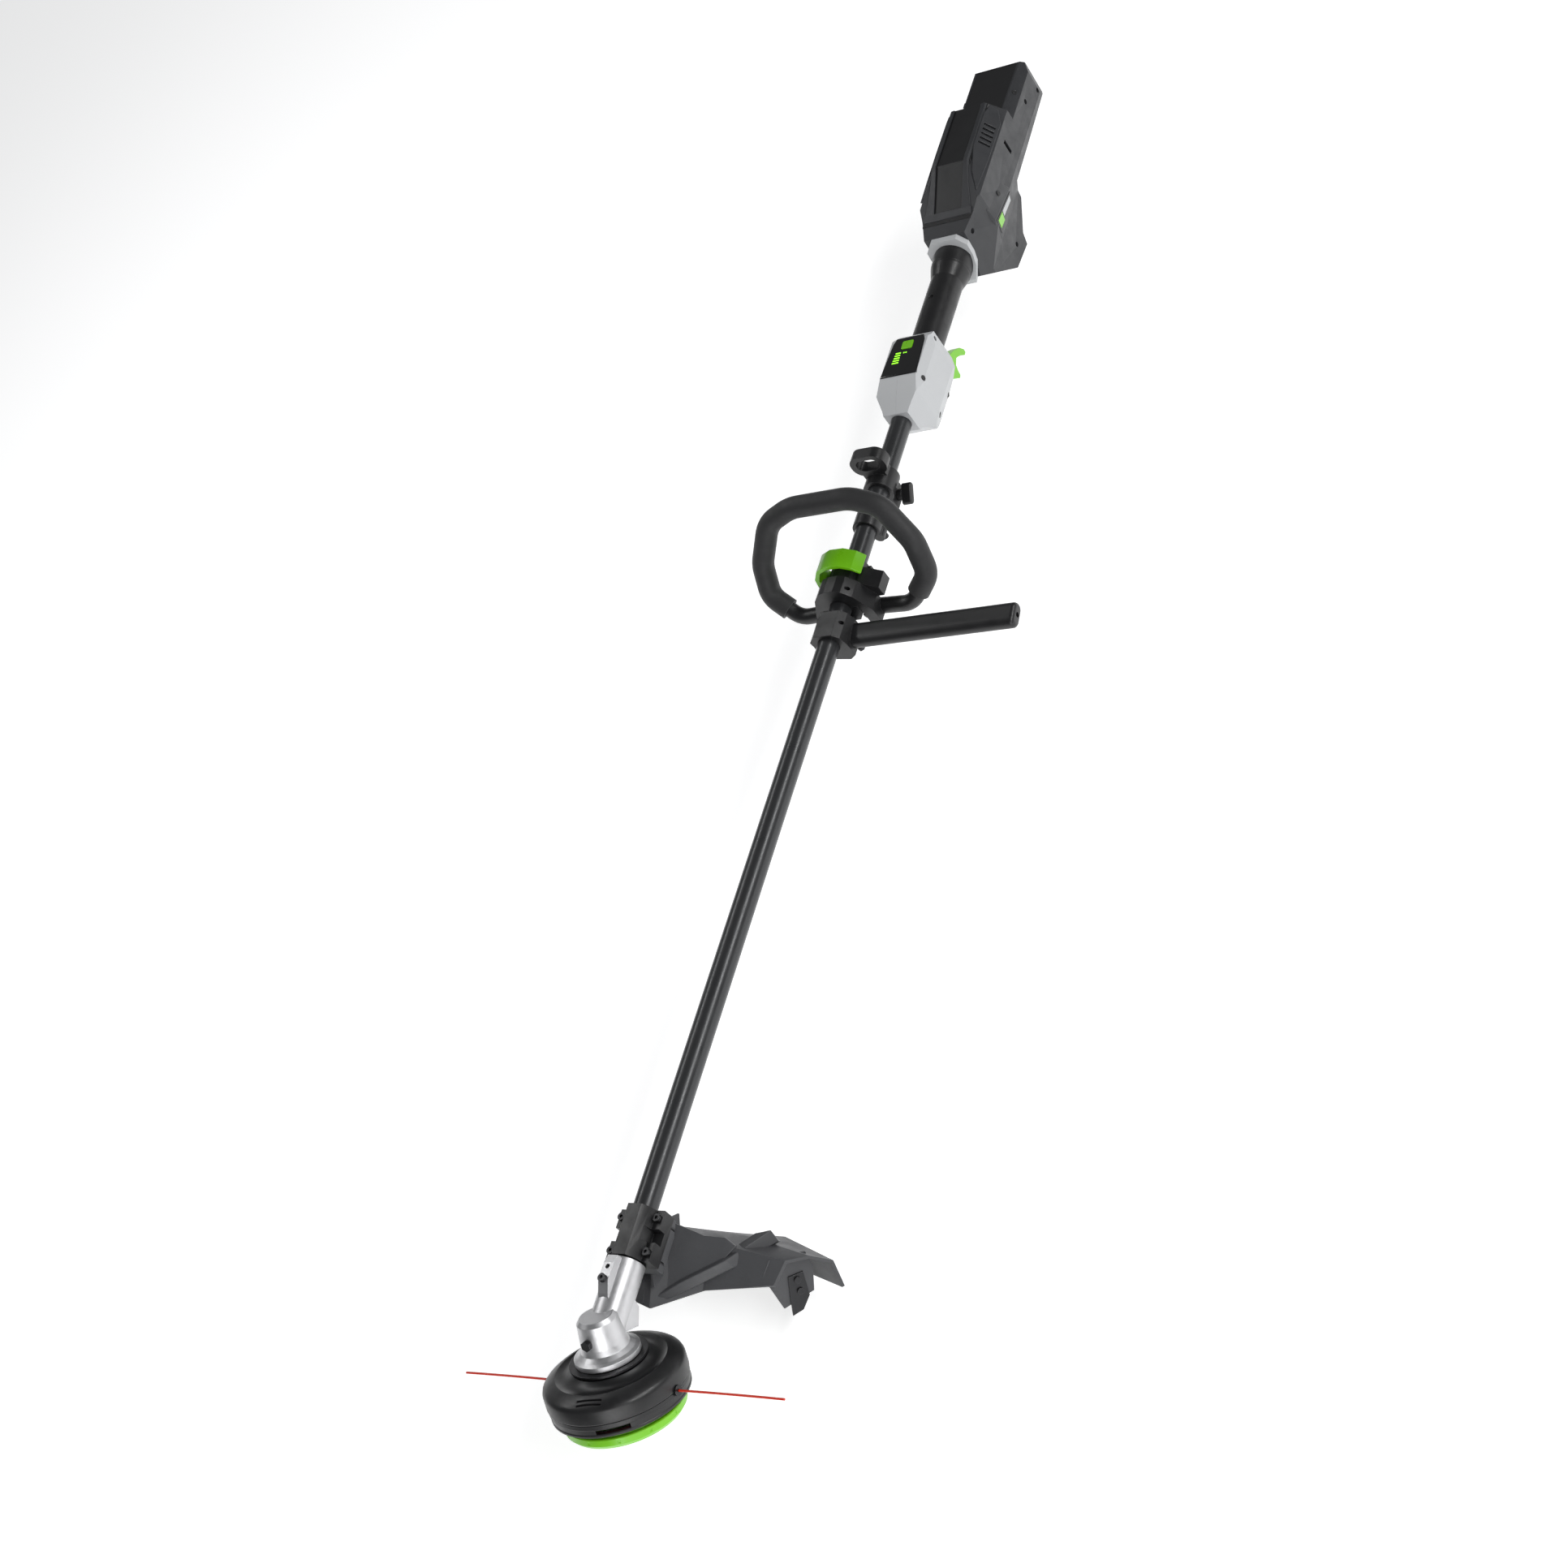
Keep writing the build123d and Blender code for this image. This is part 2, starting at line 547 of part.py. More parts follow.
LEVER_PIN_Y, LEVER_PIN_Z = 29.0, -6.0
LEVER_X0, LEVER_X1 = 912.0, 938.0
LUG_W = 4.0
with BuildPart() as handle_clamp_jaw:
    with BuildSketch(across(CLAMP_X0)):
        with BuildLine():
            Polyline((23, -0.3), (-23, -0.3), (-23, -12), (-15, -22), (15, -22), (23, -14), close=True)
        make_face()
        Circle(TUBE_R + SLIDE_GAP, mode=Mode.SUBTRACT)
    extrude(amount=CLAMP_X1 - CLAMP_X0)
    with BuildSketch(side(8)):
        with BuildLine():
            Polyline((BAR_X1 - 3, -16), (CLAMP_X0, -15), (CLAMP_X0, -22), (BAR_X1 - 3, -24), close=True)
        make_face()
    extrude(amount=16)
    for x in (LEVER_X0 - 0.4 - LUG_W, LEVER_X1 + 0.4):
        with BuildSketch(across(x)):
            with Locations((LEVER_PIN_Y, LEVER_PIN_Z)):
                Circle(5.0)
            with Locations((LEVER_PIN_Y - 4.5, LEVER_PIN_Z)):
                Rectangle(9, 9)
            with Locations((LEVER_PIN_Y, LEVER_PIN_Z)):
                Circle(2.5, mode=Mode.SUBTRACT)
        extrude(amount=LUG_W)
    for x, y in JAW_BOLTS:
        with Locations(Plane(origin=APEX + Vector(x, y, 0), z_dir=(0, 0, 1))):
            Hole(2.5, 60)
save(handle_clamp_jaw, "handle_clamp_jaw")

with BuildPart() as lever_pin:
    with BuildSketch(across(LEVER_X0 - 0.4 - LUG_W)):
        with Locations((LEVER_PIN_Y, LEVER_PIN_Z)):
            Circle(2.5)
    extrude(amount=LEVER_X1 - LEVER_X0 + 0.8 + 2 * LUG_W)
save(lever_pin, "lever_pin")

with BuildPart() as clamp_lever:
    with BuildSketch(across(LEVER_X0)):
        with BuildLine():
            Polyline((26, -11), (32, -11.5), (35, -6), (36, 6), (33.5, 20), (24, 33), (10, 39), (-8, 38.5), (-22, 31),
                     (-30, 21), (-28, 19.5), (-20, 27.5), (-8, 33.5), (9, 34), (21, 29), (28.5, 18), (30, 5),
                     (25, -2), close=True)
        make_face()
        with Locations((LEVER_PIN_Y, LEVER_PIN_Z)):
            Circle(2.5 + RUN_GAP, mode=Mode.SUBTRACT)
    extrude(amount=LEVER_X1 - LEVER_X0)
save(clamp_lever, "clamp_lever")

with BuildPart() as barrier_bar:
    with BuildSketch(across(BAR_X0)):
        with BuildLine():
            Polyline((20, 0.5), (21, 8), (12, 17), (-12, 17), (-20, 10), (-23, -2), (-23, -22), (-14, -28), (10, -24),
                     (20, -12), close=True)
        make_face()
        Circle(TUBE_R + SLIDE_GAP, mode=Mode.SUBTRACT)
    extrude(amount=BAR_X1 - BAR_X0 - 6)
    with BuildSketch(side(-20)):
        with Locations((848, -11)):
            SlotOverall(30, 17, rotation=8)
    extrude(amount=212)
    fillet(barrier_bar.faces().sort_by(Axis.Y)[0].edges(), 5)
    with BuildSketch(side(-222)):
        with Locations((848, -11)):
            Circle(3.0)
    extrude(amount=20, mode=Mode.SUBTRACT)
    with Locations(Plane(origin=APEX + Vector(850, -17.3, 0), z_dir=(0, 0, 1))):
        Hole(2.5, 80)
save(barrier_bar, "barrier_bar")

with BuildPart() as tie_bolts:
    for x, y, low, high in ((850, -17.3, -32, 9.5), (*JAW_BOLTS[0], -22, 14), (*JAW_BOLTS[1], -22, 14)):
        with BuildSketch(over(low)):
            with Locations((x, y)):
                Circle(2.5)
        extrude(amount=high - low)
        with BuildSketch(over(low - 4)):
            with Locations((x, y)):
                RegularPolygon(4.6, 6)
        extrude(amount=4)
save(tie_bolts, "tie_bolts")

# ---------------------------------------------------------------- stop collar and harness hanger
with BuildPart() as stop_collar:
    with BuildSketch(across(STOP_X0)):
        Circle(TUBE_R + 4.0)
        with Locations((-10, -14)):
            Circle(6.5)
        Circle(TUBE_R, mode=Mode.SUBTRACT)
    extrude(amount=STOP_X1 - STOP_X0)
    fillet(stop_collar.faces().sort_by(Axis.X)[0].edges().sort_by(SortBy.LENGTH)[-1], 1.2)
    with Locations(Plane(origin=APEX + Vector(1005, -10, -20), z_dir=(0, 0, -1))):
        Hole(2.6, 18)
save(stop_collar, "stop_collar")

EAR_Y, CLAMP_BOLT_Z = 6.0, -23.0
EYE_W, EYE_H, EYE_T = 30.0, 17.0, 15.0
with BuildPart() as hanger_clamp:
    with BuildSketch(across(EYE_X - EYE_T / 2)):
        Circle(TUBE_R + 6.0)
        with Locations((0, EYE_Z - 1)):
            RectangleRounded(EYE_W + 16, EYE_H + 14, 14)
        with Locations((0, 16)):
            RectangleRounded(30, 14, 4)
    extrude(amount=EYE_T)
    with BuildSketch(across(HANGER_X0)):
        Circle(TUBE_R + 6.0)
        with Locations((0, -21)):
            Rectangle(22, 20)
    extrude(amount=HANGER_X1 - HANGER_X0 - 14)
    with BuildSketch(across(HANGER_X0 - 1)):
        Circle(TUBE_R + SLIDE_GAP)
        with Locations((0, -22)):
            Rectangle(3.0, 26)
        with Locations((0, EYE_Z)):
            RectangleRounded(EYE_W, EYE_H, 8)
    extrude(amount=60, mode=Mode.SUBTRACT)
    with BuildSketch(side(20)):
        with Locations((HANGER_X0 + 14, CLAMP_BOLT_Z)):
            Circle(3.05)
    extrude(amount=40, mode=Mode.SUBTRACT)
    with BuildSketch(side(18)):
        with Locations((HANGER_X0 + 14, CLAMP_BOLT_Z)):
            RegularPolygon(5.2, 6)
    extrude(amount=10, mode=Mode.SUBTRACT)
save(hanger_clamp, "hanger_clamp")

with BuildPart() as hanger_nut:
    with BuildSketch(side(12.6)):
        with Locations((HANGER_X0 + 14, CLAMP_BOLT_Z)):
            RegularPolygon(5.0, 6)
            Circle(3.05, mode=Mode.SUBTRACT)
    extrude(amount=4.4)
save(hanger_nut, "hanger_nut")

with BuildPart() as hanger_knob:
    with BuildSketch(side(-11.4)):
        with Locations((HANGER_X0 + 14, CLAMP_BOLT_Z)):
            Circle(7.0)
    extrude(amount=6)
    with BuildSketch(side(-17.4)):
        with Locations((HANGER_X0 + 14, CLAMP_BOLT_Z)):
            SlotOverall(26, 9, rotation=35)
    extrude(amount=12)
    fillet(hanger_knob.faces().sort_by(Axis.Y)[0].edges(), 2.0)
    with BuildSketch(side(16)):
        with Locations((HANGER_X0 + 14, CLAMP_BOLT_Z)):
            Circle(3.0)
    extrude(amount=28)
save(hanger_knob, "hanger_knob")

# ---------------------------------------------------------------- cap screws held by the shaft side
SCREW_R, SCREW_HEAD_R = 2.5, 4.2


def cap_screw(plane, length, head=4.0):
    """Socket cap screw with its head standing on the given plane and its shank going down."""
    with BuildPart() as screw:
        with BuildSketch(plane):
            Circle(SCREW_HEAD_R)
        extrude(amount=head)
        with BuildSketch(plane.offset(head)):
            RegularPolygon(2.0, 6)
        extrude(amount=-2.4, mode=Mode.SUBTRACT)
        with BuildSketch(plane):
            Circle(SCREW_R)
        extrude(amount=-length)
    return screw.part


with BuildPart() as cap_screws:
    for x in CAP_SCREW_X:
        for y in (-CAP_SCREW_Y, CAP_SCREW_Y):
            add(cap_screw(Plane(origin=APEX + Vector(x, y, 2), z_dir=(0, 0, 1)), 26))
    add(cap_screw(Plane(origin=APEX + Vector(49, 0, 26.6), z_dir=(0, 0, 1)), 12))
    add(cap_screw(Plane(origin=APEX + Vector(1005, -10, -20.6), z_dir=(0, 0, -1)), 4))
save(cap_screws, "cap_screws")

with BuildPart() as cutter_screws:
    for r, n in CUTTER_SCREWS:
        with BuildSketch(CUTTER_PLANE.offset(-1.0)):
            with Locations((r, n)):
                Circle(1.9)
        extrude(amount=1.0 + FIN_T + CUTTER_T)
        with BuildSketch(CUTTER_PLANE.offset(FIN_T + CUTTER_T)):
            with Locations((r, n)):
                Circle(3.4)
        extrude(amount=1.8)
save(cutter_screws, "cutter_screws")

# ---------------------------------------------------------------- control housing
CONTROL_SIDE = ((1162, 15.5), (1168, 18), (1185, 26), (1206, 33), (1268, 33), (1283, 24), (1283, -24), (1262, -46),
                (1250, -51), (1200, -51), (1186, -43), (1168, -19), (1162, -16))
CONTROL_TOP = mirrored([(17, 1162), (19, 1168), (28, 1186), (30, 1202), (30, 1262), (24, 1283)])
CONTROL_ACROSS = mirrored([(25, 34), (30, 20), (30, -24), (22, -40), (14, -52)])


def faceted(side_points, top_points, across_points, x0, x1, inset=0.0):
    """Solid that a side, a top and a cross outline share, each drawn inwards by the inset."""
    with BuildPart() as block:
        with BuildSketch(side(60)):
            with BuildLine():
                Polyline(*side_points, close=True)
            make_face()
            if inset:
                offset(amount=-inset, kind=Kind.INTERSECTION, mode=Mode.REPLACE)
        extrude(amount=120)
        with BuildSketch(over(-120)):
            with BuildLine():
                Polyline(*[(x, y) for y, x in top_points], close=True)
            make_face()
            if inset:
                offset(amount=-inset, kind=Kind.INTERSECTION, mode=Mode.REPLACE)
        extrude(amount=240, mode=Mode.INTERSECT)
        with BuildSketch(across(x0 - 20)):
            with BuildLine():
                Polyline(*across_points, close=True)
            make_face()
            if inset:
                offset(amount=-inset, kind=Kind.INTERSECTION, mode=Mode.REPLACE)
        extrude(amount=x1 - x0 + 40, mode=Mode.INTERSECT)
    return block.part


CONTROL_OUTLINES = (CONTROL_SIDE, CONTROL_TOP, CONTROL_ACROSS, CONTROL_X0, CONTROL_X1)

PANEL_OUTLINE = ((1208, -25.5), (1208, 25.5), (1262, 22), (1271, 19), (1271, -19), (1262, -22))
BUTTON_X, BUTTON_W, BUTTON_L = 1257.0, 15.0, 13.0
TRIGGER_PIVOT = (1262.0, -30.0)
CONTROL_SCREWS = ((1208.0, 21.0), (1199.0, -33.0), (1240.0, -42.0), (1274.0, 20.0))
POST_R, POCKET_R, POCKET_Y = 5.0, 3.4, 19.0
with BuildPart() as control_webs:
    add(faceted(*CONTROL_OUTLINES))
    with BuildSketch(side(60)):
        with Locations((1163.5, 0), (1190.0, 0), (1281.0, 0)):
            Rectangle(3, 120)
        with Locations(*CONTROL_SCREWS, TRIGGER_PIVOT):
            Circle(POST_R)
    extrude(amount=120, mode=Mode.INTERSECT)

with BuildPart() as control_shell:
    add(faceted(*CONTROL_OUTLINES))
    add(faceted(*CONTROL_OUTLINES, inset=WALL), mode=Mode.SUBTRACT)
    add(control_webs.part)
    with BuildSketch(across(1100)):
        Circle(TUBE_R)
    extrude(amount=220, mode=Mode.SUBTRACT)
    with BuildSketch(over(31.4)):
        with BuildLine():
            Polyline(*PANEL_OUTLINE, close=True)
        make_face()
        offset(amount=FIT)
    extrude(amount=5, mode=Mode.SUBTRACT)
    with BuildSketch(over(27)):
        with Locations((1240, 0)):
            Rectangle(54.6, 37)
            Rectangle(61, 8.6)
    extrude(amount=6, mode=Mode.SUBTRACT)
    with BuildSketch(side(7.5)):
        with BuildLine():
            Polyline((1254, -20), (1290, -20), (1290, -60), (1254, -60), close=True)
        make_face()
    extrude(amount=15, mode=Mode.SUBTRACT)
    with BuildSketch(side(14)):
        with Locations(TRIGGER_PIVOT):
            Circle(2.0)
    extrude(amount=28, mode=Mode.SUBTRACT)
    for x, z in CONTROL_SCREWS:
        for y0 in (40, -POCKET_Y):
            with BuildSketch(side(y0)):
                with Locations((x, z)):
                    Circle(POCKET_R)
            extrude(amount=40 - POCKET_Y, mode=Mode.SUBTRACT)


def half_of(whole, sign):
    """The half of a moulding on one side of the centre plane."""
    with BuildPart() as half:
        add(whole)
        split(bisect_by=Plane(origin=(0, 0, 0), z_dir=(0, sign, 0)), keep=Keep.TOP)
    return half


for name, sign in (("left", -1), ("right", 1)):
    save(half_of(control_shell.part, sign), f"control_housing_{name}")

with BuildPart() as display_panel:
    with BuildSketch(over(31.6)):
        with BuildLine():
            Polyline(*PANEL_OUTLINE, close=True)
        make_face()
    extrude(amount=2.6)
    chamfer(display_panel.faces().sort_by(Axis.Z)[-1].edges(), 0.8)
    with BuildSketch(over(28)):
        with Locations((BUTTON_X, 0)):
            RectangleRounded(BUTTON_L + 0.6, BUTTON_W + 0.6, 2.3)
    extrude(amount=10, mode=Mode.SUBTRACT)
save(display_panel, "display_panel")

with BuildPart() as power_button:
    with BuildSketch(over(30.4)):
        with Locations((BUTTON_X, 0)):
            RectangleRounded(BUTTON_L, BUTTON_W, 2.0)
    extrude(amount=5.0)
    fillet(power_button.faces().sort_by(Axis.Z)[-1].edges(), 0.8)
save(power_button, "power_button")

with BuildPart() as display_board:
    with BuildSketch(over(27.2)):
        with Locations((1240, 0)):
            Rectangle(54, 36)
        with Locations((1240, 0)):
            Rectangle(60, 8)
    extrude(amount=1.6)
    with BuildSketch(over(28.8)):
        with Locations((1229, 0), (1234, 0), (1239, 0), (1244, 0)):
            Rectangle(2.5, 9)
        with Locations((1219, 0)):
            Rectangle(9, 12)
    extrude(amount=1.2)
save(display_board, "display_board")

TRIGGER_W = 12.0
with BuildPart() as trigger:
    with BuildSketch(side(TRIGGER_W / 2)):
        with BuildLine():
            Polyline((1256, -24), (1270, -24), (1292, -30), (1303, -38), (1318, -44), (1331, -53), (1337, -62),
                     (1336.5, -67), (1332, -67.5), (1324, -59), (1314, -53.5), (1306, -57), (1303, -64), (1302, -71),
                     (1298, -72.5), (1288, -62), (1276, -50), (1264, -41), (1256, -36), close=True)
        make_face()
    extrude(amount=TRIGGER_W)
    fillet(trigger.edges().filter_by(Axis.Y).group_by(Axis.X)[-1], 1.2)
    with BuildSketch(side(20)):
        with Locations(TRIGGER_PIVOT):
            Circle(2.0 + RUN_GAP)
    extrude(amount=40, mode=Mode.SUBTRACT)
save(trigger, "trigger")

with BuildPart() as pivot_pins:
    with BuildSketch(side(14)):
        with Locations(TRIGGER_PIVOT):
            Circle(2.0)
    extrude(amount=28)
save(pivot_pins, "pivot_pins")

with BuildPart() as trigger_switch:
    with BuildSketch(side(7)):
        with Locations((1236, -28)):
            Rectangle(27, 14)
    extrude(amount=14)
save(trigger_switch, "trigger_switch")

with BuildPart() as trigger_spring:
    with BuildLine() as coil:
        Helix(pitch=1.0, height=4.0, radius=2.4, center=APEX + Vector(1250.4, 0, -27.5), direction=(1, 0, 0))
    with BuildSketch(Plane(origin=coil.line @ 0, z_dir=coil.line % 0)):
        Circle(0.4)
    sweep(is_frenet=True)
save(trigger_spring, "trigger_spring")

# ---------------------------------------------------------------- rear grip
with BuildPart() as grip_shell:
    with BuildSketch(side(0)):
        with BuildLine():
            Polyline((GRIP_X0, GRIP_R - 1), (GRIP_X0 + 4, GRIP_R), (GRIP_X1 - 26, GRIP_R), (GRIP_X1 - 8, GRIP_R + 4.5),
                     (GRIP_X1, GRIP_R + 5), (GRIP_X1, GRIP_R + 2), (GRIP_X1 - 27, GRIP_R - GRIP_WALL),
                     (GRIP_X0 + 70, GRIP_R - GRIP_WALL), (GRIP_X0 + 70, TUBE_R), (GRIP_X0 + 62, TUBE_R),
                     (GRIP_X0 + 62, GRIP_R - GRIP_WALL), (GRIP_X0 + 6, GRIP_R - GRIP_WALL), (GRIP_X0 + 6, TUBE_R),
                     (GRIP_X0, TUBE_R), close=True)
        make_face()
    revolve(axis=SHAFT)
    with Locations(Plane(origin=APEX + Vector(1349.5, 0, GRIP_R + 3), z_dir=(0, 0, 1))):
        Hole(3.4, 5)
for name, sign in (("left", -1), ("right", 1)):
    save(half_of(grip_shell.part, sign), f"rear_grip_{name}")

# ---------------------------------------------------------------- rear power unit
REAR_SIDE = ((1424, -27), (1438, 4), (1440, 33), (1470, 38), (1536, 66), (1638, 66), (1643, 40), (1743, 38),
             (1747, 30), (1747, -19), (1672, -23), (1589, -26), (1585, -50), (1546, -75), (1540, -90), (1494, -86))
REAR_TOP = mirrored([(25, 1424), (29, 1440), (43, 1492), (43, 1732), (37, 1747)])
REAR_ACROSS = mirrored([(24, 67), (43, 43), (43, -8), (31, -40), (31, -92)])
REAR_OUTLINES = (REAR_SIDE, REAR_TOP, REAR_ACROSS, 1424, 1747)

BAY_X0, BAY_Y, BAY_Z0, BAY_Z1 = 1652.0, 35.0, -17.0, 33.0
COVER_MID, COVER_REAR = 20.0, 30.0


def cover_bands(depth, high, clear):
    """Side outlines and half widths of the strips that the smooth top cover fills."""
    ramp = [(1476 - clear, 40.6 + high), (1536, 66 + high), (1638 + clear, 66 + high), (1638 + clear, 66 - depth),
            (1537, 66 - depth), (1476 - clear, 40.6 - depth)]
    step = [(1634, 66 + high), (1638.2 + clear, 66 + high), (1645 + clear, 40 + high), (1645 + clear, 39.9 - depth),
            (1641.4 - clear, 40 - depth), (1634, 66 - depth)]
    deck = [(1644.4 - clear, 40 + high), (1742 + clear, 38 + high), (1742 + clear, 38 - depth),
            (1644.4 - clear, 40 - depth)]
    return (ramp, COVER_MID), (step, COVER_MID), (deck, COVER_REAR)


SLOPE_PLANE = {
    -1: Plane(origin=APEX + Vector(1560, -33.5, 55.0), x_dir=(1, 0, 0), z_dir=(0, -0.784, 0.621)),
    1: Plane(origin=APEX + Vector(1560, 33.5, 55.0), x_dir=(-1, 0, 0), z_dir=(0, 0.784, 0.621)),
}
VENT_OUTLINE = ((-66, -9), (-10, -12), (54, -12.5), (74, -4), (74, 8), (60, 12.5), (0, 12.5), (-40, 4))


REAR_SCREWS = ((1690.0, 14.0, 43.0), (1729.0, -2.0, 43.0), (1531.0, 8.0, 43.0), (1452.0, 22.0, 31.5),
               (1520.0, -70.0, 31.0))
POST_DEPTH, POCKET_DEPTH = 6.0, 4.5
REAR_CORNER = ((31.2, 40.4), (43.2, 27.0))
REAR_CORNER_X = 1643.3


def corner_wedge(sign, inset):
    """Prism over the slanted upper corner of the rear block, reaching inset below its face."""
    (ya, za), (yb, zb) = REAR_CORNER
    length = ((yb - ya) ** 2 + (zb - za) ** 2) ** 0.5
    along_y, along_z = (yb - ya) / length, (zb - za) / length
    out_y, out_z = -along_z, along_y
    with BuildPart() as wedge:
        with BuildSketch(across(REAR_CORNER_X - inset)):
            with BuildLine():
                corners = [(-8, -inset), (length + 8, -inset), (length + 8, 12), (-8, 12)]
                Polyline(*[(sign * (ya + along_y * t + out_y * n), za + along_z * t + out_z * n) for t, n in corners],
                         close=True)
            make_face()
        extrude(amount=120)
    return wedge.part


with BuildPart() as rear_hollow:
    add(faceted(*REAR_OUTLINES, inset=WALL))
    for sign in (-1, 1):
        add(corner_wedge(sign, WALL), mode=Mode.SUBTRACT)

with BuildPart() as rear_posts:
    for x, z, face_y in REAR_SCREWS:
        for y0 in (face_y + 3, -face_y + POST_DEPTH):
            with BuildSketch(side(y0)):
                with Locations((x, z)):
                    Circle(POST_R)
            extrude(amount=POST_DEPTH + 3)
    add(faceted(*REAR_OUTLINES), mode=Mode.INTERSECT)

with BuildPart() as rear_shell:
    add(faceted(*REAR_OUTLINES))
    for sign in (-1, 1):
        add(corner_wedge(sign, 0), mode=Mode.SUBTRACT)
    add(rear_hollow.part, mode=Mode.SUBTRACT)
    add(rear_posts.part)
    with BuildSketch(across(1400)):
        Circle(TUBE_R)
    extrude(amount=45, mode=Mode.SUBTRACT)
    with BuildSketch(across(1735)):
        with Locations((0, (BAY_Z0 + BAY_Z1) / 2)):
            Rectangle(2 * BAY_Y - 4, BAY_Z1 - BAY_Z0 - 4)
    extrude(amount=30, mode=Mode.SUBTRACT)
    for band, half_width in cover_bands(1.8, 6, FIT):
        with BuildSketch(side(half_width + FIT)):
            with BuildLine():
                Polyline(*band, close=True)
            make_face()
        extrude(amount=2 * (half_width + FIT), mode=Mode.SUBTRACT)
    for sign in (-1, 1):
        with BuildSketch(SLOPE_PLANE[sign]):
            with Locations(*[(-sign * x, 0) for x in (10, 18, 26, 34, 42)]):
                Rectangle(3.2, 16)
        extrude(amount=8, both=True, mode=Mode.SUBTRACT)
        with BuildSketch(side(sign * 43 + 6)):
            with Locations((1600, 20)):
                Rectangle(6, 20)
        extrude(amount=12, mode=Mode.SUBTRACT)
        for x, z, face_y in REAR_SCREWS:
            with BuildSketch(side(face_y + 3 if sign > 0 else -face_y + POCKET_DEPTH)):
                with Locations((x, z)):
                    Circle(POCKET_R)
            extrude(amount=POCKET_DEPTH + 3, mode=Mode.SUBTRACT)
    with BuildSketch(over(-40)):
        with Locations((1716, 0)):
            RectangleRounded(24, 22, 3)
    extrude(amount=26, mode=Mode.SUBTRACT)
for name, sign in (("left", -1), ("right", 1)):
    save(half_of(rear_shell.part, sign), f"rear_housing_{name}")

with BuildPart() as top_cover:
    for band, half_width in cover_bands(1.7, -0.5, 0):
        with BuildSketch(side(half_width)):
            with BuildLine():
                Polyline(*band, close=True)
            make_face()
        extrude(amount=2 * half_width)
save(top_cover, "top_cover")

with BuildPart() as vent_panels:
    for sign in (-1, 1):
        with BuildSketch(SLOPE_PLANE[sign].offset(0.05)):
            with BuildLine():
                Polyline(*[(-sign * x, y) for x, y in VENT_OUTLINE], close=True)
            make_face()
            with Locations(*[(-sign * x, 0) for x in (10, 18, 26, 34, 42)]):
                Rectangle(3.2, 16, mode=Mode.SUBTRACT)
        extrude(amount=2.2)
save(vent_panels, "vent_panels")

with BuildPart() as collar_band:
    with BuildSketch(side(29)):
        with BuildLine():
            Polyline((1417, -30), (1423.8, -27.2), (1437.8, 4), (1439.8, 33), (1432, 33), (1430, 5), (1416.5, -24),
                     close=True)
        make_face()
    extrude(amount=58)
    with BuildSketch(across(1400)):
        with BuildLine():
            Polyline(*mirrored([(18, 33), (29, 20), (29, -8), (20, -31)]), close=True)
        make_face()
    extrude(amount=60, mode=Mode.INTERSECT)
    with BuildSketch(across(1400)):
        Circle(GRIP_R + 5.2)
    extrude(amount=60, mode=Mode.SUBTRACT)
save(collar_band, "collar_band")

with BuildPart() as motor_stator:
    with BuildSketch(side(0)):
        with BuildLine():
            Polyline((1446, 11), (1452, 11), (1452, 5.5), (1454, 5.5), (1454, 26), (1462, 25), (1462, 17.5), (1492, 17.5),
                     (1492, 26), (1510, 26), (1510, 5.5), (1512, 5.5), (1512, 11), (1518, 11), (1518, 27.4), (1446, 27.4),
                     close=True)
        make_face()
    revolve(axis=SHAFT)
save(motor_stator, "motor_stator")

with BuildPart() as motor_rotor:
    with BuildSketch(side(0)):
        with BuildLine():
            Polyline((1426.2, 0), (1430, 0), (1524, 0), (1524, 4), (1492, 4), (1492, 16.8), (1462, 16.8), (1462, 4),
                     (1440, 4), (1440, 8), (1434, 10.5), (1416, 10.5), (1416, 4), (1426.2, 4), close=True)
        make_face()
    revolve(axis=SHAFT)
save(motor_rotor, "motor_rotor")

with BuildPart() as cooling_fan:
    with BuildSketch(across(1519.5)):
        Circle(9)
        Circle(4, mode=Mode.SUBTRACT)
    extrude(amount=4.5)
    with BuildSketch(across(1519.5)):
        Circle(25)
        Circle(8.5, mode=Mode.SUBTRACT)
    extrude(amount=1.2)
    for i in range(11):
        turn = 2 * pi * i / 11
        blade_plane = Plane(origin=APEX + Vector(1520.7, 0, 0), x_dir=(0, cos(turn), sin(turn)), z_dir=(1, 0, 0))
        with BuildSketch(blade_plane):
            with Locations((16.0, 0)):
                Rectangle(17, 1.2)
        extrude(amount=8)
save(cooling_fan, "cooling_fan")

with BuildPart() as control_board:
    with BuildSketch(over(-62)):
        with Locations((1524, 0)):
            Rectangle(54, 46)
    extrude(amount=1.8)
    with BuildSketch(over(-60.2)):
        with Locations((1510, 12), (1510, -12)):
            Circle(8)
    extrude(amount=18)
    with BuildSketch(over(-60.2)):
        with Locations((1538, 0)):
            Rectangle(14, 36)
    extrude(amount=6)
save(control_board, "control_board")

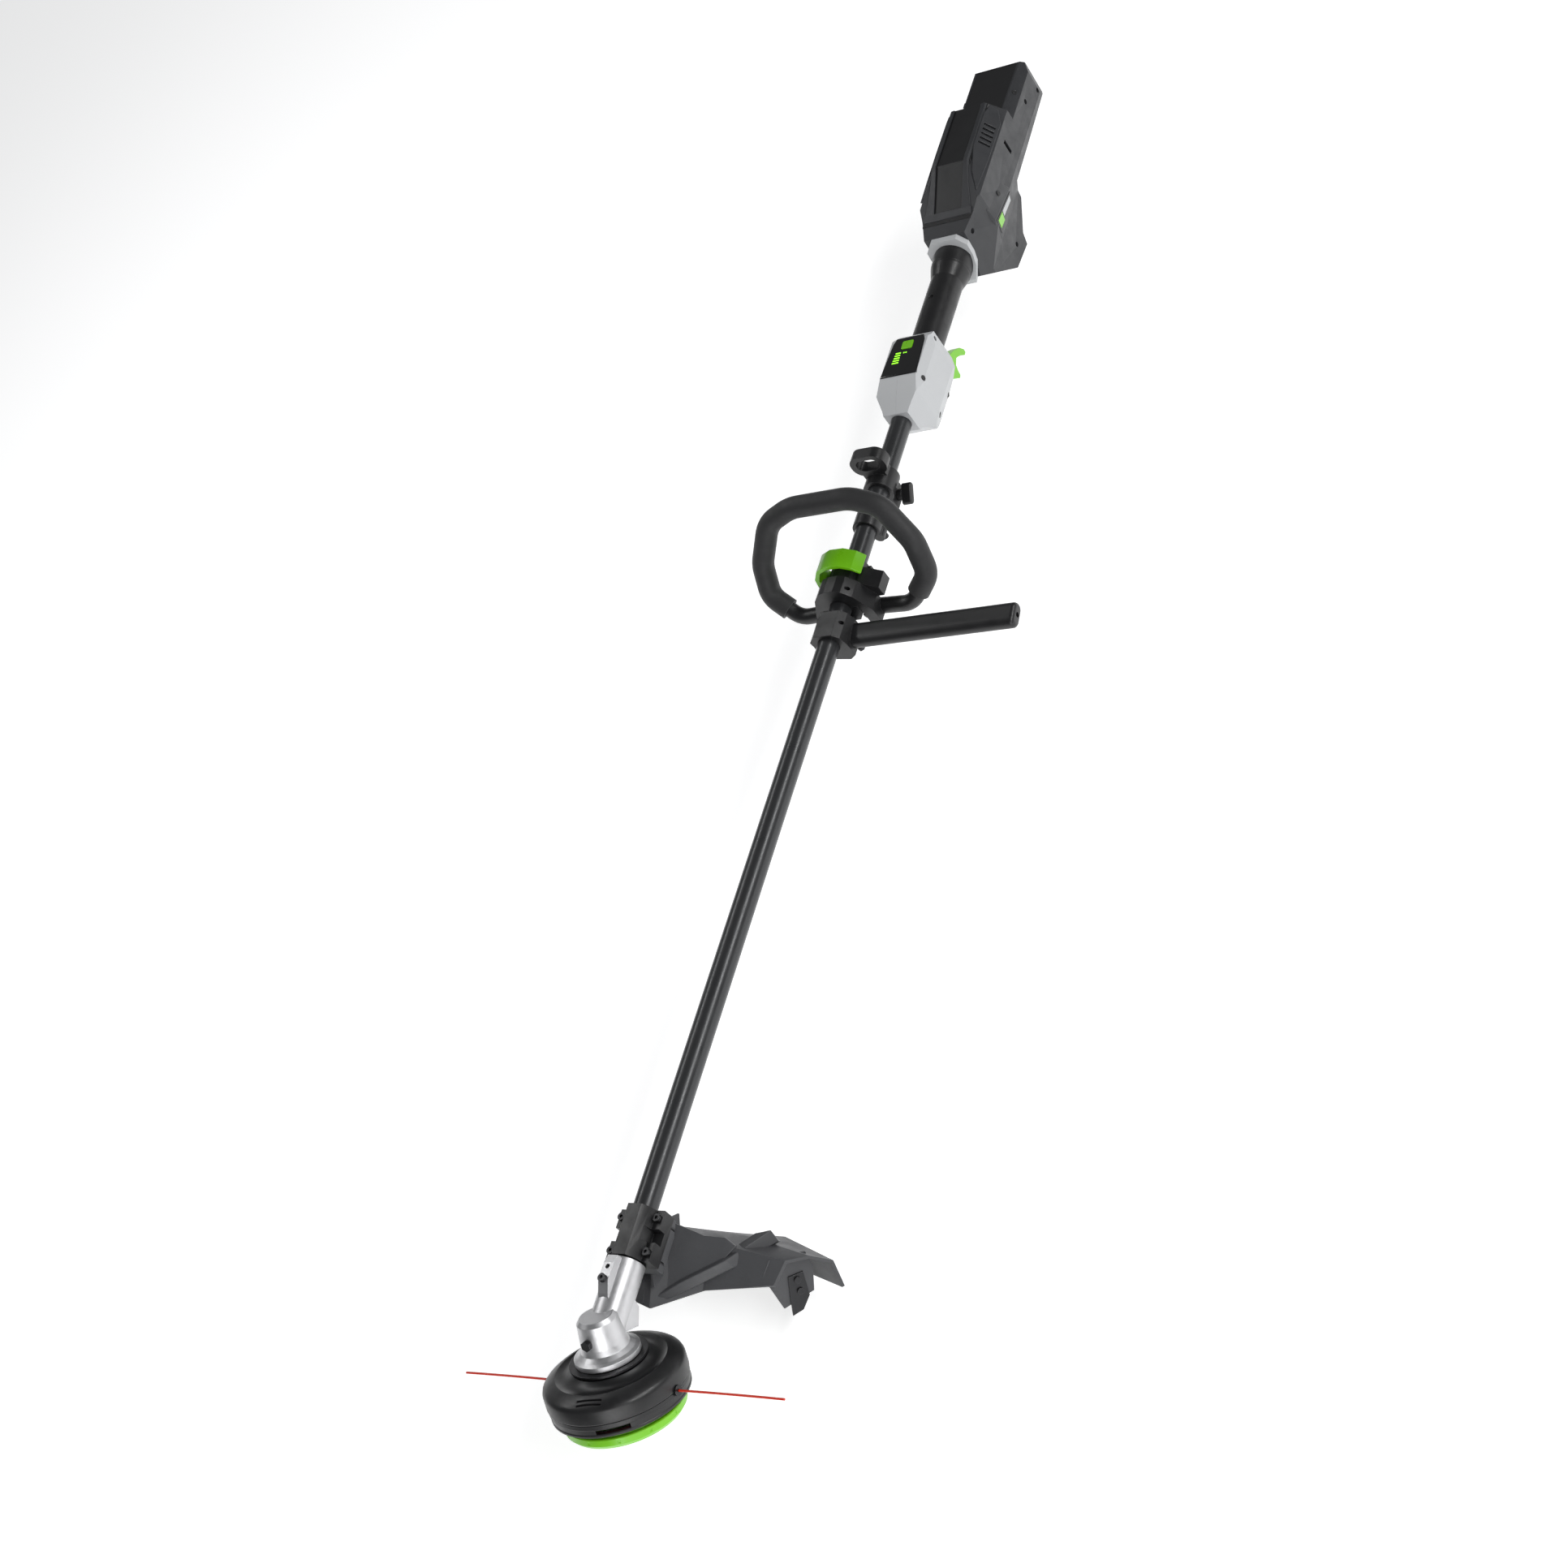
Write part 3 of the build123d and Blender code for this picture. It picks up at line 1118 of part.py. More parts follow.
with BuildPart() as battery_tray:
    with BuildSketch(across(BAY_X0)):
        with Locations((0, 9)):
            Rectangle(70, 44)
    extrude(amount=3)
    for sign in (-1, 1):
        with BuildSketch(across(BAY_X0)):
            with BuildLine():
                Polyline((sign * 36.5, -12), (sign * 36.5, 29), (sign * 34.5, 29), (sign * 34.5, 8), (sign * 31, 8),
                         (sign * 31, 2), (sign * 34.5, 2), (sign * 34.5, -12), close=True)
            make_face()
        extrude(amount=88)
    with BuildSketch(across(BAY_X0 + 3)):
        with Locations(*[(y, 8) for y in (-18, -9, 0, 9, 18)]):
            Rectangle(1.2, 18)
    extrude(amount=16)
    with BuildSketch(across(BAY_X0 + 3)):
        with Locations((0, -4)):
            Rectangle(48, 4)
    extrude(amount=12)
save(battery_tray, "battery_tray")

with BuildPart() as battery_latch:
    with BuildSketch(side(8)):
        with BuildLine():
            Polyline((1678, -12.4), (1678, -6), (1684, -8.5), (1690, -11.8), (1725, -11.8), (1725, -24.5),
                     (1707, -24.5), (1707, -14.2), (1678, -14.2), close=True)
        make_face()
    extrude(amount=16)
    fillet(battery_latch.edges().filter_by(Axis.Y).group_by(Axis.Z)[0], 1.5)
save(battery_latch, "battery_latch")

SCREW_DISC = 1.4
with BuildPart() as housing_screws:
    seats = [(x, z, POCKET_Y) for x, z in CONTROL_SCREWS]
    seats += [(x, z, face_y - POCKET_DEPTH) for x, z, face_y in REAR_SCREWS]
    for x, z, seat_y in seats:
        for sign in (-1, 1):
            with BuildSketch(Plane(origin=APEX + Vector(x, sign * seat_y, z), z_dir=(0, sign, 0))):
                Circle(POCKET_R - FIT)
                RegularPolygon(1.5, 6, mode=Mode.SUBTRACT)
            extrude(amount=SCREW_DISC)
save(housing_screws, "housing_screws")
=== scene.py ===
import math

import bmesh
import bpy
from mathutils import Matrix, Vector
from mathutils.bvhtree import BVHTree


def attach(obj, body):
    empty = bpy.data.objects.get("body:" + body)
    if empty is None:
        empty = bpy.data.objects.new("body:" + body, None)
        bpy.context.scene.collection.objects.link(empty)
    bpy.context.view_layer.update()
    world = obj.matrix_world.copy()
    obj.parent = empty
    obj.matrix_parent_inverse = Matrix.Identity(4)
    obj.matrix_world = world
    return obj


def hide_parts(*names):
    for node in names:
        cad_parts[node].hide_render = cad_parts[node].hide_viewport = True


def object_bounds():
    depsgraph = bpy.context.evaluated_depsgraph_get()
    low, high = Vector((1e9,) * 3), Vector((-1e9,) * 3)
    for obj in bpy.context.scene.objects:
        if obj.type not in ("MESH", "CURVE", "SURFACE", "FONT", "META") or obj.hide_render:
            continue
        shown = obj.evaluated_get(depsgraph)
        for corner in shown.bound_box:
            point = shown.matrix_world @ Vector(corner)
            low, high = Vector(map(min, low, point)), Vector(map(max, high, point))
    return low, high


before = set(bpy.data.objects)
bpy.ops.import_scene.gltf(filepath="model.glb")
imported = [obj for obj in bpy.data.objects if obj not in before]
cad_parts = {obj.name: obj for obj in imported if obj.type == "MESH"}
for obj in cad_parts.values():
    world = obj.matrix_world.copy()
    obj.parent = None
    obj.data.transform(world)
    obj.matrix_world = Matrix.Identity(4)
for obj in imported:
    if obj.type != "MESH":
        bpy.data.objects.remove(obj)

# ---------------------------------------------------------------- the frame
# Places are given in millimetres from the apex, the point where the tube axis
# meets the axis of the cutting head, and turned into metres in the row frame,
# whose origin is the harness eye.
CAD_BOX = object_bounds()
MM = 0.001
EYE = Vector((1074.0, 0.0, 33.5))
HEAD_TILT = math.radians(55)
HEAD_AXIS = Vector((math.cos(HEAD_TILT), 0, math.sin(HEAD_TILT)))
HEAD_OUT = Vector((math.sin(HEAD_TILT), 0, -math.cos(HEAD_TILT)))
SIDE = Vector((0, 1, 0))


def at(x, y, z):
    """A point given in millimetres from the apex, in metres in the row frame."""
    return (Vector((x, y, z)) - EYE) * MM


def on_head(angle, radius, height):
    """A point on the cutting head: angle about its axis, radius and height in millimetres."""
    turn = math.radians(angle)
    outward = HEAD_OUT * math.cos(turn) + SIDE * math.sin(turn)
    return (HEAD_AXIS * height + outward * radius - EYE) * MM


# ---------------------------------------------------------------- camera and light
CAMERA_PLACE = Vector((-1.7448, -1.5014, 1.7002))
CAMERA_RIGHT = Vector((0.2692, -0.8195, -0.5059))
CAMERA_UP = Vector((0.8253, -0.0745, 0.5598))
LENS = 55.9
SENSOR = 36.0
FLOOR_DROP = 0.0006


def make_camera():
    back = CAMERA_RIGHT.cross(CAMERA_UP).normalized()
    up = back.cross(CAMERA_RIGHT).normalized()
    right = up.cross(back)
    data = bpy.data.cameras.new("camera")
    data.lens = LENS
    data.sensor_width = SENSOR
    data.clip_end = 60
    camera = bpy.data.objects.new("camera", data)
    turn = Matrix((right, up, back)).transposed().to_4x4()
    camera.matrix_world = Matrix.Translation(CAMERA_PLACE) @ turn
    bpy.context.collection.objects.link(camera)
    bpy.context.scene.camera = camera


def area_light(name, place, target, size, power):
    """A soft rectangular light at place, facing target, size metres along and across."""
    data = bpy.data.lights.new(name, "AREA")
    data.shape = "RECTANGLE"
    data.size, data.size_y = size
    data.energy = power
    lamp = bpy.data.objects.new(name, data)
    lamp.location = place
    aim = Vector(target) - Vector(place)
    lamp.rotation_euler = aim.to_track_quat("-Z", "Y").to_euler()
    bpy.context.collection.objects.link(lamp)


def make_studio():
    world = bpy.data.worlds.new("studio")
    bpy.context.scene.world = world
    world.use_nodes = True
    background = world.node_tree.nodes["Background"]
    background.inputs["Color"].default_value = (0.96, 0.98, 1.0, 1)
    background.inputs["Strength"].default_value = 0.16
    bpy.context.scene.view_settings.view_transform = "Standard"
    bpy.context.scene.view_settings.look = "None"
    area_light("side_softbox", (-0.1, -1.9, 1.5), (-0.15, 0, -0.05), (3.2, 0.38), 46)
    area_light("low_fill", (-2.6, -0.9, 0.5), (-0.6, 0, -0.1), (1.4, 0.9), 16)
    area_light("back_strip", (0.3, 1.9, 2.0), (-0.1, 0, 0), (2.6, 0.25), 20)


def make_floor():
    low = CAD_BOX[0][2] - FLOOR_DROP
    reach = 7.0
    floor_mesh = bmesh.new()
    bmesh.ops.create_grid(floor_mesh, x_segments=8, y_segments=8, size=reach)
    data = bpy.data.meshes.new("floor")
    floor_mesh.to_mesh(data)
    floor_mesh.free()
    floor = bpy.data.objects.new("floor", data)
    floor.location = (0, 0, low)
    bpy.context.collection.objects.link(floor)
    material, tree, shader = blank_material("studio_floor")
    shader.inputs["Base Color"].default_value = (0.86, 0.86, 0.865, 1)
    shader.inputs["Roughness"].default_value = 0.85
    shader.inputs["Specular IOR Level"].default_value = 0.05
    shader.inputs["Emission Color"].default_value = (1, 1, 1, 1)
    shader.inputs["Emission Strength"].default_value = 0.62
    data.materials.append(material)


# ---------------------------------------------------------------- materials
def blank_material(name):
    material = bpy.data.materials.new(name)
    material.use_nodes = True
    tree = material.node_tree
    return material, tree, tree.nodes["Principled BSDF"]


def add_node(tree, kind, links=(), **settings):
    """A node with its plain settings, and its inputs set from links: pairs of input and value or socket."""
    made = tree.nodes.new(kind)
    for key, value in settings.items():
        setattr(made, key, value)
    for key, value in links:
        if isinstance(value, bpy.types.NodeSocket):
            tree.links.new(value, made.inputs[key])
        else:
            made.inputs[key].default_value = value
    return made


def local_place(tree):
    return add_node(tree, "ShaderNodeTexCoord").outputs["Object"]


def noise(tree, place, size, detail=2.0, roughness=0.5):
    """Noise whose features are about size metres across."""
    made = add_node(tree, "ShaderNodeTexNoise", [
        ("Vector", place), ("Scale", 1 / size), ("Detail", detail), ("Roughness", roughness)])
    return made.outputs["Fac"]


def cells(tree, place, size):
    made = add_node(tree, "ShaderNodeTexVoronoi", [("Vector", place), ("Scale", 1 / size)])
    return made.outputs["Distance"]


def remap(tree, value, low, high, to_low=0.0, to_high=1.0):
    made = add_node(tree, "ShaderNodeMapRange", [
        ("Value", value), ("From Min", low), ("From Max", high),
        ("To Min", to_low), ("To Max", to_high)])
    return made.outputs["Result"]


def multiply(tree, a, b):
    made = add_node(tree, "ShaderNodeMath", [(0, a), (1, b)], operation="MULTIPLY")
    return made.outputs["Value"]


def blend_colour(tree, factor, a, b):
    made = tree.nodes.new("ShaderNodeMix")
    made.data_type = "RGBA"
    for socket, value in ((made.inputs[0], factor), (made.inputs[6], a), (made.inputs[7], b)):
        if isinstance(value, bpy.types.NodeSocket):
            tree.links.new(value, socket)
        else:
            socket.default_value = value
    return made.outputs[2]


def shade(colour, factor):
    return tuple(min(1.0, c * factor) for c in colour[:3]) + (1.0,)


def edge_mask(tree, radius):
    """1 along the outer edges, from how far the rounded normal turns from the true one."""
    rounded = add_node(tree, "ShaderNodeBevel", [("Radius", radius)], samples=4)
    true = add_node(tree, "ShaderNodeNewGeometry")
    dot = add_node(tree, "ShaderNodeVectorMath", [
        (0, rounded.outputs["Normal"]), (1, true.outputs["Normal"])], operation="DOT_PRODUCT")
    return remap(tree, dot.outputs["Value"], 0.99, 0.80), rounded.outputs["Normal"]


def finish_normal(tree, shader, height, depth, normal=None):
    links = [("Height", height), ("Distance", depth), ("Strength", 1.0)]
    if normal is not None:
        links.append(("Normal", normal))
    bump = add_node(tree, "ShaderNodeBump", links)
    tree.links.new(bump.outputs["Normal"], shader.inputs["Normal"])


def plastic(name, colour, roughness, grain=0.0006, depth=0.00003, mottle=0.08, edge_lift=1.6, coat=0.0):
    """Moulded plastic: spark-eroded grain, slow colour drift, softened edges a little paler."""
    material, tree, shader = blank_material(name)
    place = local_place(tree)
    base = tuple(colour) + (1.0,)
    drift = noise(tree, place, 0.045, 3)
    body = blend_colour(tree, drift, shade(base, 1 - mottle), shade(base, 1 + mottle))
    mask, normal = edge_mask(tree, 0.0007)
    scuffs = remap(tree, noise(tree, place, 0.004, 4, 0.6), 0.35, 0.7, 0.35, 1.0)
    worn = multiply(tree, mask, scuffs)
    colour_out = blend_colour(tree, worn, body, shade(base, edge_lift))
    tree.links.new(colour_out, shader.inputs["Base Color"])
    smears = noise(tree, place, 0.018, 4, 0.62)
    tree.links.new(remap(tree, smears, 0.3, 0.7, roughness - 0.08, roughness + 0.08),
                   shader.inputs["Roughness"])
    shader.inputs["Coat Weight"].default_value = coat
    finish_normal(tree, shader, cells(tree, place, grain), depth, normal)
    return material


def rubber(name, colour, roughness):
    """Soft over-moulded rubber: matt, with a fine even stipple and a faint sheen."""
    material, tree, shader = blank_material(name)
    place = local_place(tree)
    base = tuple(colour) + (1.0,)
    drift = noise(tree, place, 0.03, 3)
    mask, normal = edge_mask(tree, 0.0008)
    body = blend_colour(tree, drift, shade(base, 0.9), shade(base, 1.12))
    tree.links.new(blend_colour(tree, mask, body, shade(base, 1.5)), shader.inputs["Base Color"])
    tree.links.new(remap(tree, noise(tree, place, 0.012, 4), 0.3, 0.7, roughness - 0.1, roughness + 0.06),
                   shader.inputs["Roughness"])
    shader.inputs["Specular IOR Level"].default_value = 0.45
    shader.inputs["Sheen Weight"].default_value = 0.08
    finish_normal(tree, shader, cells(tree, place, 0.0009), 0.00006, normal)
    return material


def metal(name, colour, roughness, depth=0.00002, edge_lift=1.25):
    """Bare or plated metal, with a fine grain and brighter edges."""
    material, tree, shader = blank_material(name)
    place = local_place(tree)
    base = tuple(colour) + (1.0,)
    drift = noise(tree, place, 0.02, 4, 0.6)
    mask, normal = edge_mask(tree, 0.0006)
    body = blend_colour(tree, drift, shade(base, 0.9), shade(base, 1.08))
    tree.links.new(blend_colour(tree, mask, body, shade(base, edge_lift)), shader.inputs["Base Color"])
    tree.links.new(remap(tree, noise(tree, place, 0.006, 5, 0.65), 0.3, 0.7,
                         roughness - 0.08, roughness + 0.08), shader.inputs["Roughness"])
    shader.inputs["Metallic"].default_value = 1.0
    finish_normal(tree, shader, noise(tree, place, 0.0012, 3, 0.6), depth, normal)
    return material


def coated_tube(name):
    """Powder-coated aluminium tube: fine orange peel under a satin coat."""
    material, tree, shader = blank_material(name)
    place = local_place(tree)
    base = (0.030, 0.031, 0.033, 1.0)
    drift = noise(tree, place, 0.05, 3)
    mask, normal = edge_mask(tree, 0.0006)
    body = blend_colour(tree, drift, shade(base, 0.88), shade(base, 1.15))
    tree.links.new(blend_colour(tree, mask, body, shade(base, 2.0)), shader.inputs["Base Color"])
    tree.links.new(remap(tree, noise(tree, place, 0.02, 5, 0.6), 0.3, 0.7, 0.26, 0.36),
                   shader.inputs["Roughness"])
    shader.inputs["Metallic"].default_value = 0.35
    shader.inputs["Specular IOR Level"].default_value = 0.7
    finish_normal(tree, shader, noise(tree, place, 0.0011, 2), 0.00003, normal)
    return material


def glossy_black(name):
    """Polished display cover: near black, clear coat, a few faint smears in the gloss."""
    material, tree, shader = blank_material(name)
    place = local_place(tree)
    drift = noise(tree, place, 0.03, 2)
    mask, normal = edge_mask(tree, 0.0008)
    body = blend_colour(tree, drift, (0.003, 0.003, 0.0034, 1), (0.005, 0.005, 0.0055, 1))
    tree.links.new(blend_colour(tree, mask, body, (0.03, 0.03, 0.032, 1)), shader.inputs["Base Color"])
    tree.links.new(remap(tree, noise(tree, place, 0.01, 4, 0.65), 0.3, 0.75, 0.07, 0.16),
                   shader.inputs["Roughness"])
    shader.inputs["Coat Weight"].default_value = 0.6
    shader.inputs["Coat Roughness"].default_value = 0.04
    finish_normal(tree, shader, noise(tree, place, 0.006, 2), 0.00001, normal)
    return material


def glow(name, colour, strength):
    """A lit indicator, its light a little uneven."""
    material, tree, shader = blank_material(name)
    place = local_place(tree)
    spots = remap(tree, noise(tree, place, 0.002, 2), 0.3, 0.7, 0.75, 1.0)
    lit = blend_colour(tree, spots, shade(colour, 0.7), tuple(colour) + (1.0,))
    tree.links.new(lit, shader.inputs["Base Color"])
    tree.links.new(lit, shader.inputs["Emission Color"])
    shader.inputs["Emission Strength"].default_value = strength
    shader.inputs["Roughness"].default_value = 0.3
    return material


def nylon_line(name):
    """Extruded nylon line: translucent red with fine lengthwise drawing marks."""
    material, tree, shader = blank_material(name)
    place = local_place(tree)
    stretch = add_node(tree, "ShaderNodeMapping", [("Vector", place), ("Scale", (1.0, 0.06, 1.0))])
    marks = noise(tree, stretch.outputs["Vector"], 0.0006, 3)
    tree.links.new(blend_colour(tree, marks, (0.50, 0.020, 0.008, 1), (0.72, 0.045, 0.015, 1)),
                   shader.inputs["Base Color"])
    tree.links.new(remap(tree, marks, 0.3, 0.7, 0.28, 0.42), shader.inputs["Roughness"])
    shader.inputs["Subsurface Weight"].default_value = 0.15
    shader.inputs["Subsurface Radius"].default_value = (0.002, 0.0006, 0.0004)
    finish_normal(tree, shader, marks, 0.00003)
    return material


def circuit(name):
    """Solder-masked board: green cells with paler tracks between them."""
    material, tree, shader = blank_material(name)
    place = local_place(tree)
    tracks = add_node(tree, "ShaderNodeTexBrick", [
        ("Vector", place), ("Scale", 160.0), ("Mortar Size", 0.05),
        ("Color1", (0.006, 0.060, 0.020, 1)), ("Color2", (0.008, 0.080, 0.026, 1)),
        ("Mortar", (0.020, 0.170, 0.050, 1))])
    tree.links.new(tracks.outputs["Color"], shader.inputs["Base Color"])
    tree.links.new(remap(tree, noise(tree, place, 0.004), 0.3, 0.7, 0.25, 0.45),
                   shader.inputs["Roughness"])
    finish_normal(tree, shader, tracks.outputs["Fac"], 0.00003)
    return material


def copper_windings(name):
    """Lacquered copper wire wound on steel laminations: fine bands across the axis."""
    material, tree, shader = blank_material(name)
    place = local_place(tree)
    bands = add_node(tree, "ShaderNodeTexWave", [
        ("Vector", place), ("Scale", 420.0), ("Distortion", 0.6), ("Detail", 2.0)], bands_direction="X")
    wire = bands.outputs["Fac"]
    tree.links.new(blend_colour(tree, wire, (0.20, 0.055, 0.018, 1), (0.62, 0.24, 0.09, 1)),
                   shader.inputs["Base Color"])
    tree.links.new(remap(tree, wire, 0, 1, 0.42, 0.26), shader.inputs["Roughness"])
    shader.inputs["Metallic"].default_value = 0.9
    finish_normal(tree, shader, wire, 0.00012)
    return material


LIME = (0.17, 0.53, 0.005)

MATERIALS = {
    "graphite": plastic("graphite_plastic", (0.026, 0.027, 0.030), 0.44, edge_lift=2.4),
    "black": plastic("black_plastic", (0.0085, 0.0085, 0.0092), 0.38, edge_lift=3.0),
    "smooth_black": glossy_black("display_black"),
    "light_grey": plastic("light_grey_plastic", (0.47, 0.48, 0.49), 0.42, mottle=0.02, edge_lift=1.2),
    "lime": plastic("lime_plastic", LIME, 0.34, mottle=0.05, edge_lift=1.18, coat=0.15),
    "cast_silver": metal("cast_aluminium", (0.62, 0.62, 0.63), 0.42, depth=0.00006),
    "shaft_coat": coated_tube("tube_coating"),
    "steel": metal("bright_steel", (0.58, 0.58, 0.59), 0.26),
    "black_steel": metal("blackened_steel", (0.05, 0.05, 0.052), 0.38, edge_lift=2.4),
    "soft_grip": rubber("soft_grip_rubber", (0.014, 0.014, 0.015), 0.62),
    "line_red": nylon_line("red_nylon_line"),
    "guard_grey": plastic("guard_plastic", (0.055, 0.056, 0.060), 0.5, grain=0.0009,
                          depth=0.00005, edge_lift=2.2),
    "bush": plastic("nylon_bush", (0.36, 0.33, 0.27), 0.4),
    "board": circuit("circuit_board"),
    "motor": copper_windings("motor_windings"),
}
LED = glow("lit_green", (0.30, 0.95, 0.03), 1.2)

NODE_FINISH = {
    "gear_case": "cast_silver", "grease_plug": "black_steel", "ball_bearings": "steel",
    "shaft_tube": "shaft_coat", "shaft_bushes": "bush", "guard_clamp": "black",
    "guard": "guard_grey", "line_cutter": "black_steel", "cap_screws": "black_steel",
    "cutter_screws": "black_steel", "stop_collar": "black", "control_housing_left": "light_grey",
    "control_housing_right": "light_grey", "display_panel": "smooth_black",
    "display_board": "board", "pivot_pins": "steel", "trigger_switch": "black",
    "trigger_spring": "steel", "rear_grip_left": "black", "rear_grip_right": "black",
    "rear_housing_left": "graphite", "rear_housing_right": "graphite", "top_cover": "black",
    "vent_panels": "graphite", "collar_band": "light_grey", "motor_stator": "motor",
    "control_board": "board", "battery_tray": "black", "housing_screws": "black_steel",
    "drive_shaft": "steel", "pinion_gear": "steel", "motor_rotor": "steel",
    "cooling_fan": "black", "driven_gear": "steel", "output_shaft": "steel",
    "dust_cover": "black_steel", "head_housing": "black", "head_base": "black",
    "line_eyelets": "black_steel", "head_nut": "steel", "spool": "graphite", "wound_line": "line_red",
    "bump_knob": "lime", "knob_spring": "steel", "loop_handle": "black", "loop_grips": "soft_grip",
    "handle_clamp_jaw": "black", "lever_pin": "steel", "barrier_bar": "black",
    "tie_bolts": "black_steel", "clamp_lever": "lime", "hanger_clamp": "black",
    "hanger_nut": "steel", "hanger_knob": "black", "trigger": "lime", "power_button": "lime",
    "battery_latch": "lime", "line_end_left": "line_red", "line_end_right": "line_red",
}


def finish_node(name, finish):
    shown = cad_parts[name]
    shown.data.materials.clear()
    shown.data.materials.append(MATERIALS[finish])


def finish_nodes():
    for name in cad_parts:
        finish_node(name, NODE_FINISH[name])


# ---------------------------------------------------------------- free cords
LINE_DIAMETER = 0.0024
LINE_ROUTE = ((-1.103826, 0.0736, -0.076096), (-1.102843, 0.1336, -0.076784),
              (-1.103826, 0.195, -0.076096))


def cutting_line(name, node, sign):
    """One free end of the cutting line, straight out of its eyelet."""
    route = [Vector((x, sign * y, z)) for x, y, z in LINE_ROUTE]
    data = bpy.data.curves.new(name, "CURVE")
    data.dimensions = "3D"
    data.bevel_depth = LINE_DIAMETER / 2
    data.bevel_resolution = 4
    data.resolution_u = 16
    data.use_fill_caps = True
    spline = data.splines.new("NURBS")
    spline.points.add(len(route) - 1)
    for point, place in zip(spline.points, route):
        point.co = (*place, 1.0)
    spline.order_u = 3
    spline.use_endpoint_u = True
    line = bpy.data.objects.new(name, data)
    bpy.context.collection.objects.link(line)
    data.materials.append(MATERIALS["line_red"])
    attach(line, "cutting_head")
    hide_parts(node)


# ---------------------------------------------------------------- mesh tools
SHARP_ANGLE = 30


def add_piece(name, mesh, finish, body):
    """Link a finished bmesh as a piece that rides on a CAD body."""
    data = bpy.data.meshes.new(name)
    mesh.normal_update()
    mesh.to_mesh(data)
    mesh.free()
    piece = bpy.data.objects.new(name, data)
    bpy.context.collection.objects.link(piece)
    data.materials.append(MATERIALS[finish])
    data.shade_smooth()
    data.set_sharp_from_angle(angle=math.radians(SHARP_ANGLE))
    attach(piece, body)
    return piece


def soften(piece, width, angle, segments):
    """Round the sharp edges of a piece."""
    bevel = piece.modifiers.new("rounded_edges", "BEVEL")
    bevel.limit_method = "ANGLE"
    bevel.angle_limit = math.radians(angle)
    bevel.width = width
    bevel.segments = segments
    bevel.use_clamp_overlap = True
    bevel.harden_normals = False
    return piece


def rounded_copy(node, body, width, angle, segments):
    """A moulded version of a faceted CAD shell: flat faces joined up and every edge rounded."""
    mesh = bmesh.new()
    mesh.from_mesh(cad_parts[node].data)
    bmesh.ops.remove_doubles(mesh, verts=mesh.verts, dist=0.000004)
    bmesh.ops.dissolve_limit(mesh, angle_limit=math.radians(0.6), verts=mesh.verts, edges=mesh.edges)
    piece = add_piece(f"{node}_moulding", mesh, NODE_FINISH[node], body)
    soften(piece, width, angle, segments)
    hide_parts(node)
    return piece


def skin_over(mesh, ring, after):
    """The faces between two rings of as many corners."""
    for j in range(len(ring)):
        k = (j + 1) % len(ring)
        mesh.faces.new((ring[j], after[j], after[k], ring[k]))


def lathe(name, profile, finish, body, steps, head=True):
    """A closed profile of radius and height in millimetres, turned about the head's axis or the tube's."""
    mesh = bmesh.new()
    rings = []
    for i in range(steps):
        turn = 360 * i / steps
        if head:
            ring = [mesh.verts.new(on_head(turn, r, n)) for r, n in profile]
        else:
            c, d = math.cos(math.radians(turn)), math.sin(math.radians(turn))
            ring = [mesh.verts.new(at(x, r * c, r * d)) for r, x in profile]
        rings.append(ring)
    for i, ring in enumerate(rings):
        skin_over(mesh, ring, rings[(i + 1) % steps])
    bmesh.ops.recalc_face_normals(mesh, faces=mesh.faces)
    return add_piece(name, mesh, finish, body)


def hull(name, points, finish, round_off):
    """The convex solid round a set of points in the row frame."""
    mesh = bmesh.new()
    for point in points:
        mesh.verts.new(point)
    made = bmesh.ops.convex_hull(mesh, input=mesh.verts)
    spare = [v for v in made["geom_interior"] + made["geom_unused"] if isinstance(v, bmesh.types.BMVert)]
    if spare:
        bmesh.ops.delete(mesh, geom=spare, context="VERTS")
    bmesh.ops.dissolve_limit(mesh, angle_limit=math.radians(1), verts=mesh.verts, edges=mesh.edges)
    bmesh.ops.recalc_face_normals(mesh, faces=mesh.faces)
    piece = add_piece(name, mesh, finish, "shaft_unit")
    soften(piece, round_off, 20, 3)
    return piece


def sweep(name, sections, finish, round_off=0.0):
    """A bar through a row of matching closed sections, each a list of points in the row frame."""
    mesh = bmesh.new()
    rings = [[mesh.verts.new(p) for p in section] for section in sections]
    for ring, after in zip(rings, rings[1:]):
        skin_over(mesh, ring, after)
    mesh.faces.new(rings[0])
    mesh.faces.new(rings[-1])
    bmesh.ops.recalc_face_normals(mesh, faces=mesh.faces)
    piece = add_piece(name, mesh, finish, "shaft_unit")
    if round_off:
        soften(piece, round_off, 24, 3)
    return piece


def slab(name, outline, lift, finish, round_off=0.0):
    """A plate: an outline of points in the row frame, thickened by the vector lift."""
    mesh = bmesh.new()
    low = [mesh.verts.new(p) for p in outline]
    high = [mesh.verts.new(Vector(p) + Vector(lift)) for p in outline]
    mesh.faces.new(low)
    mesh.faces.new(high)
    for i in range(len(low)):
        k = (i + 1) % len(low)
        mesh.faces.new((low[i], low[k], high[k], high[i]))
    bmesh.ops.recalc_face_normals(mesh, faces=mesh.faces)
    piece = add_piece(name, mesh, finish, "shaft_unit")
    if round_off:
        soften(piece, round_off, 40, 2)
    return piece


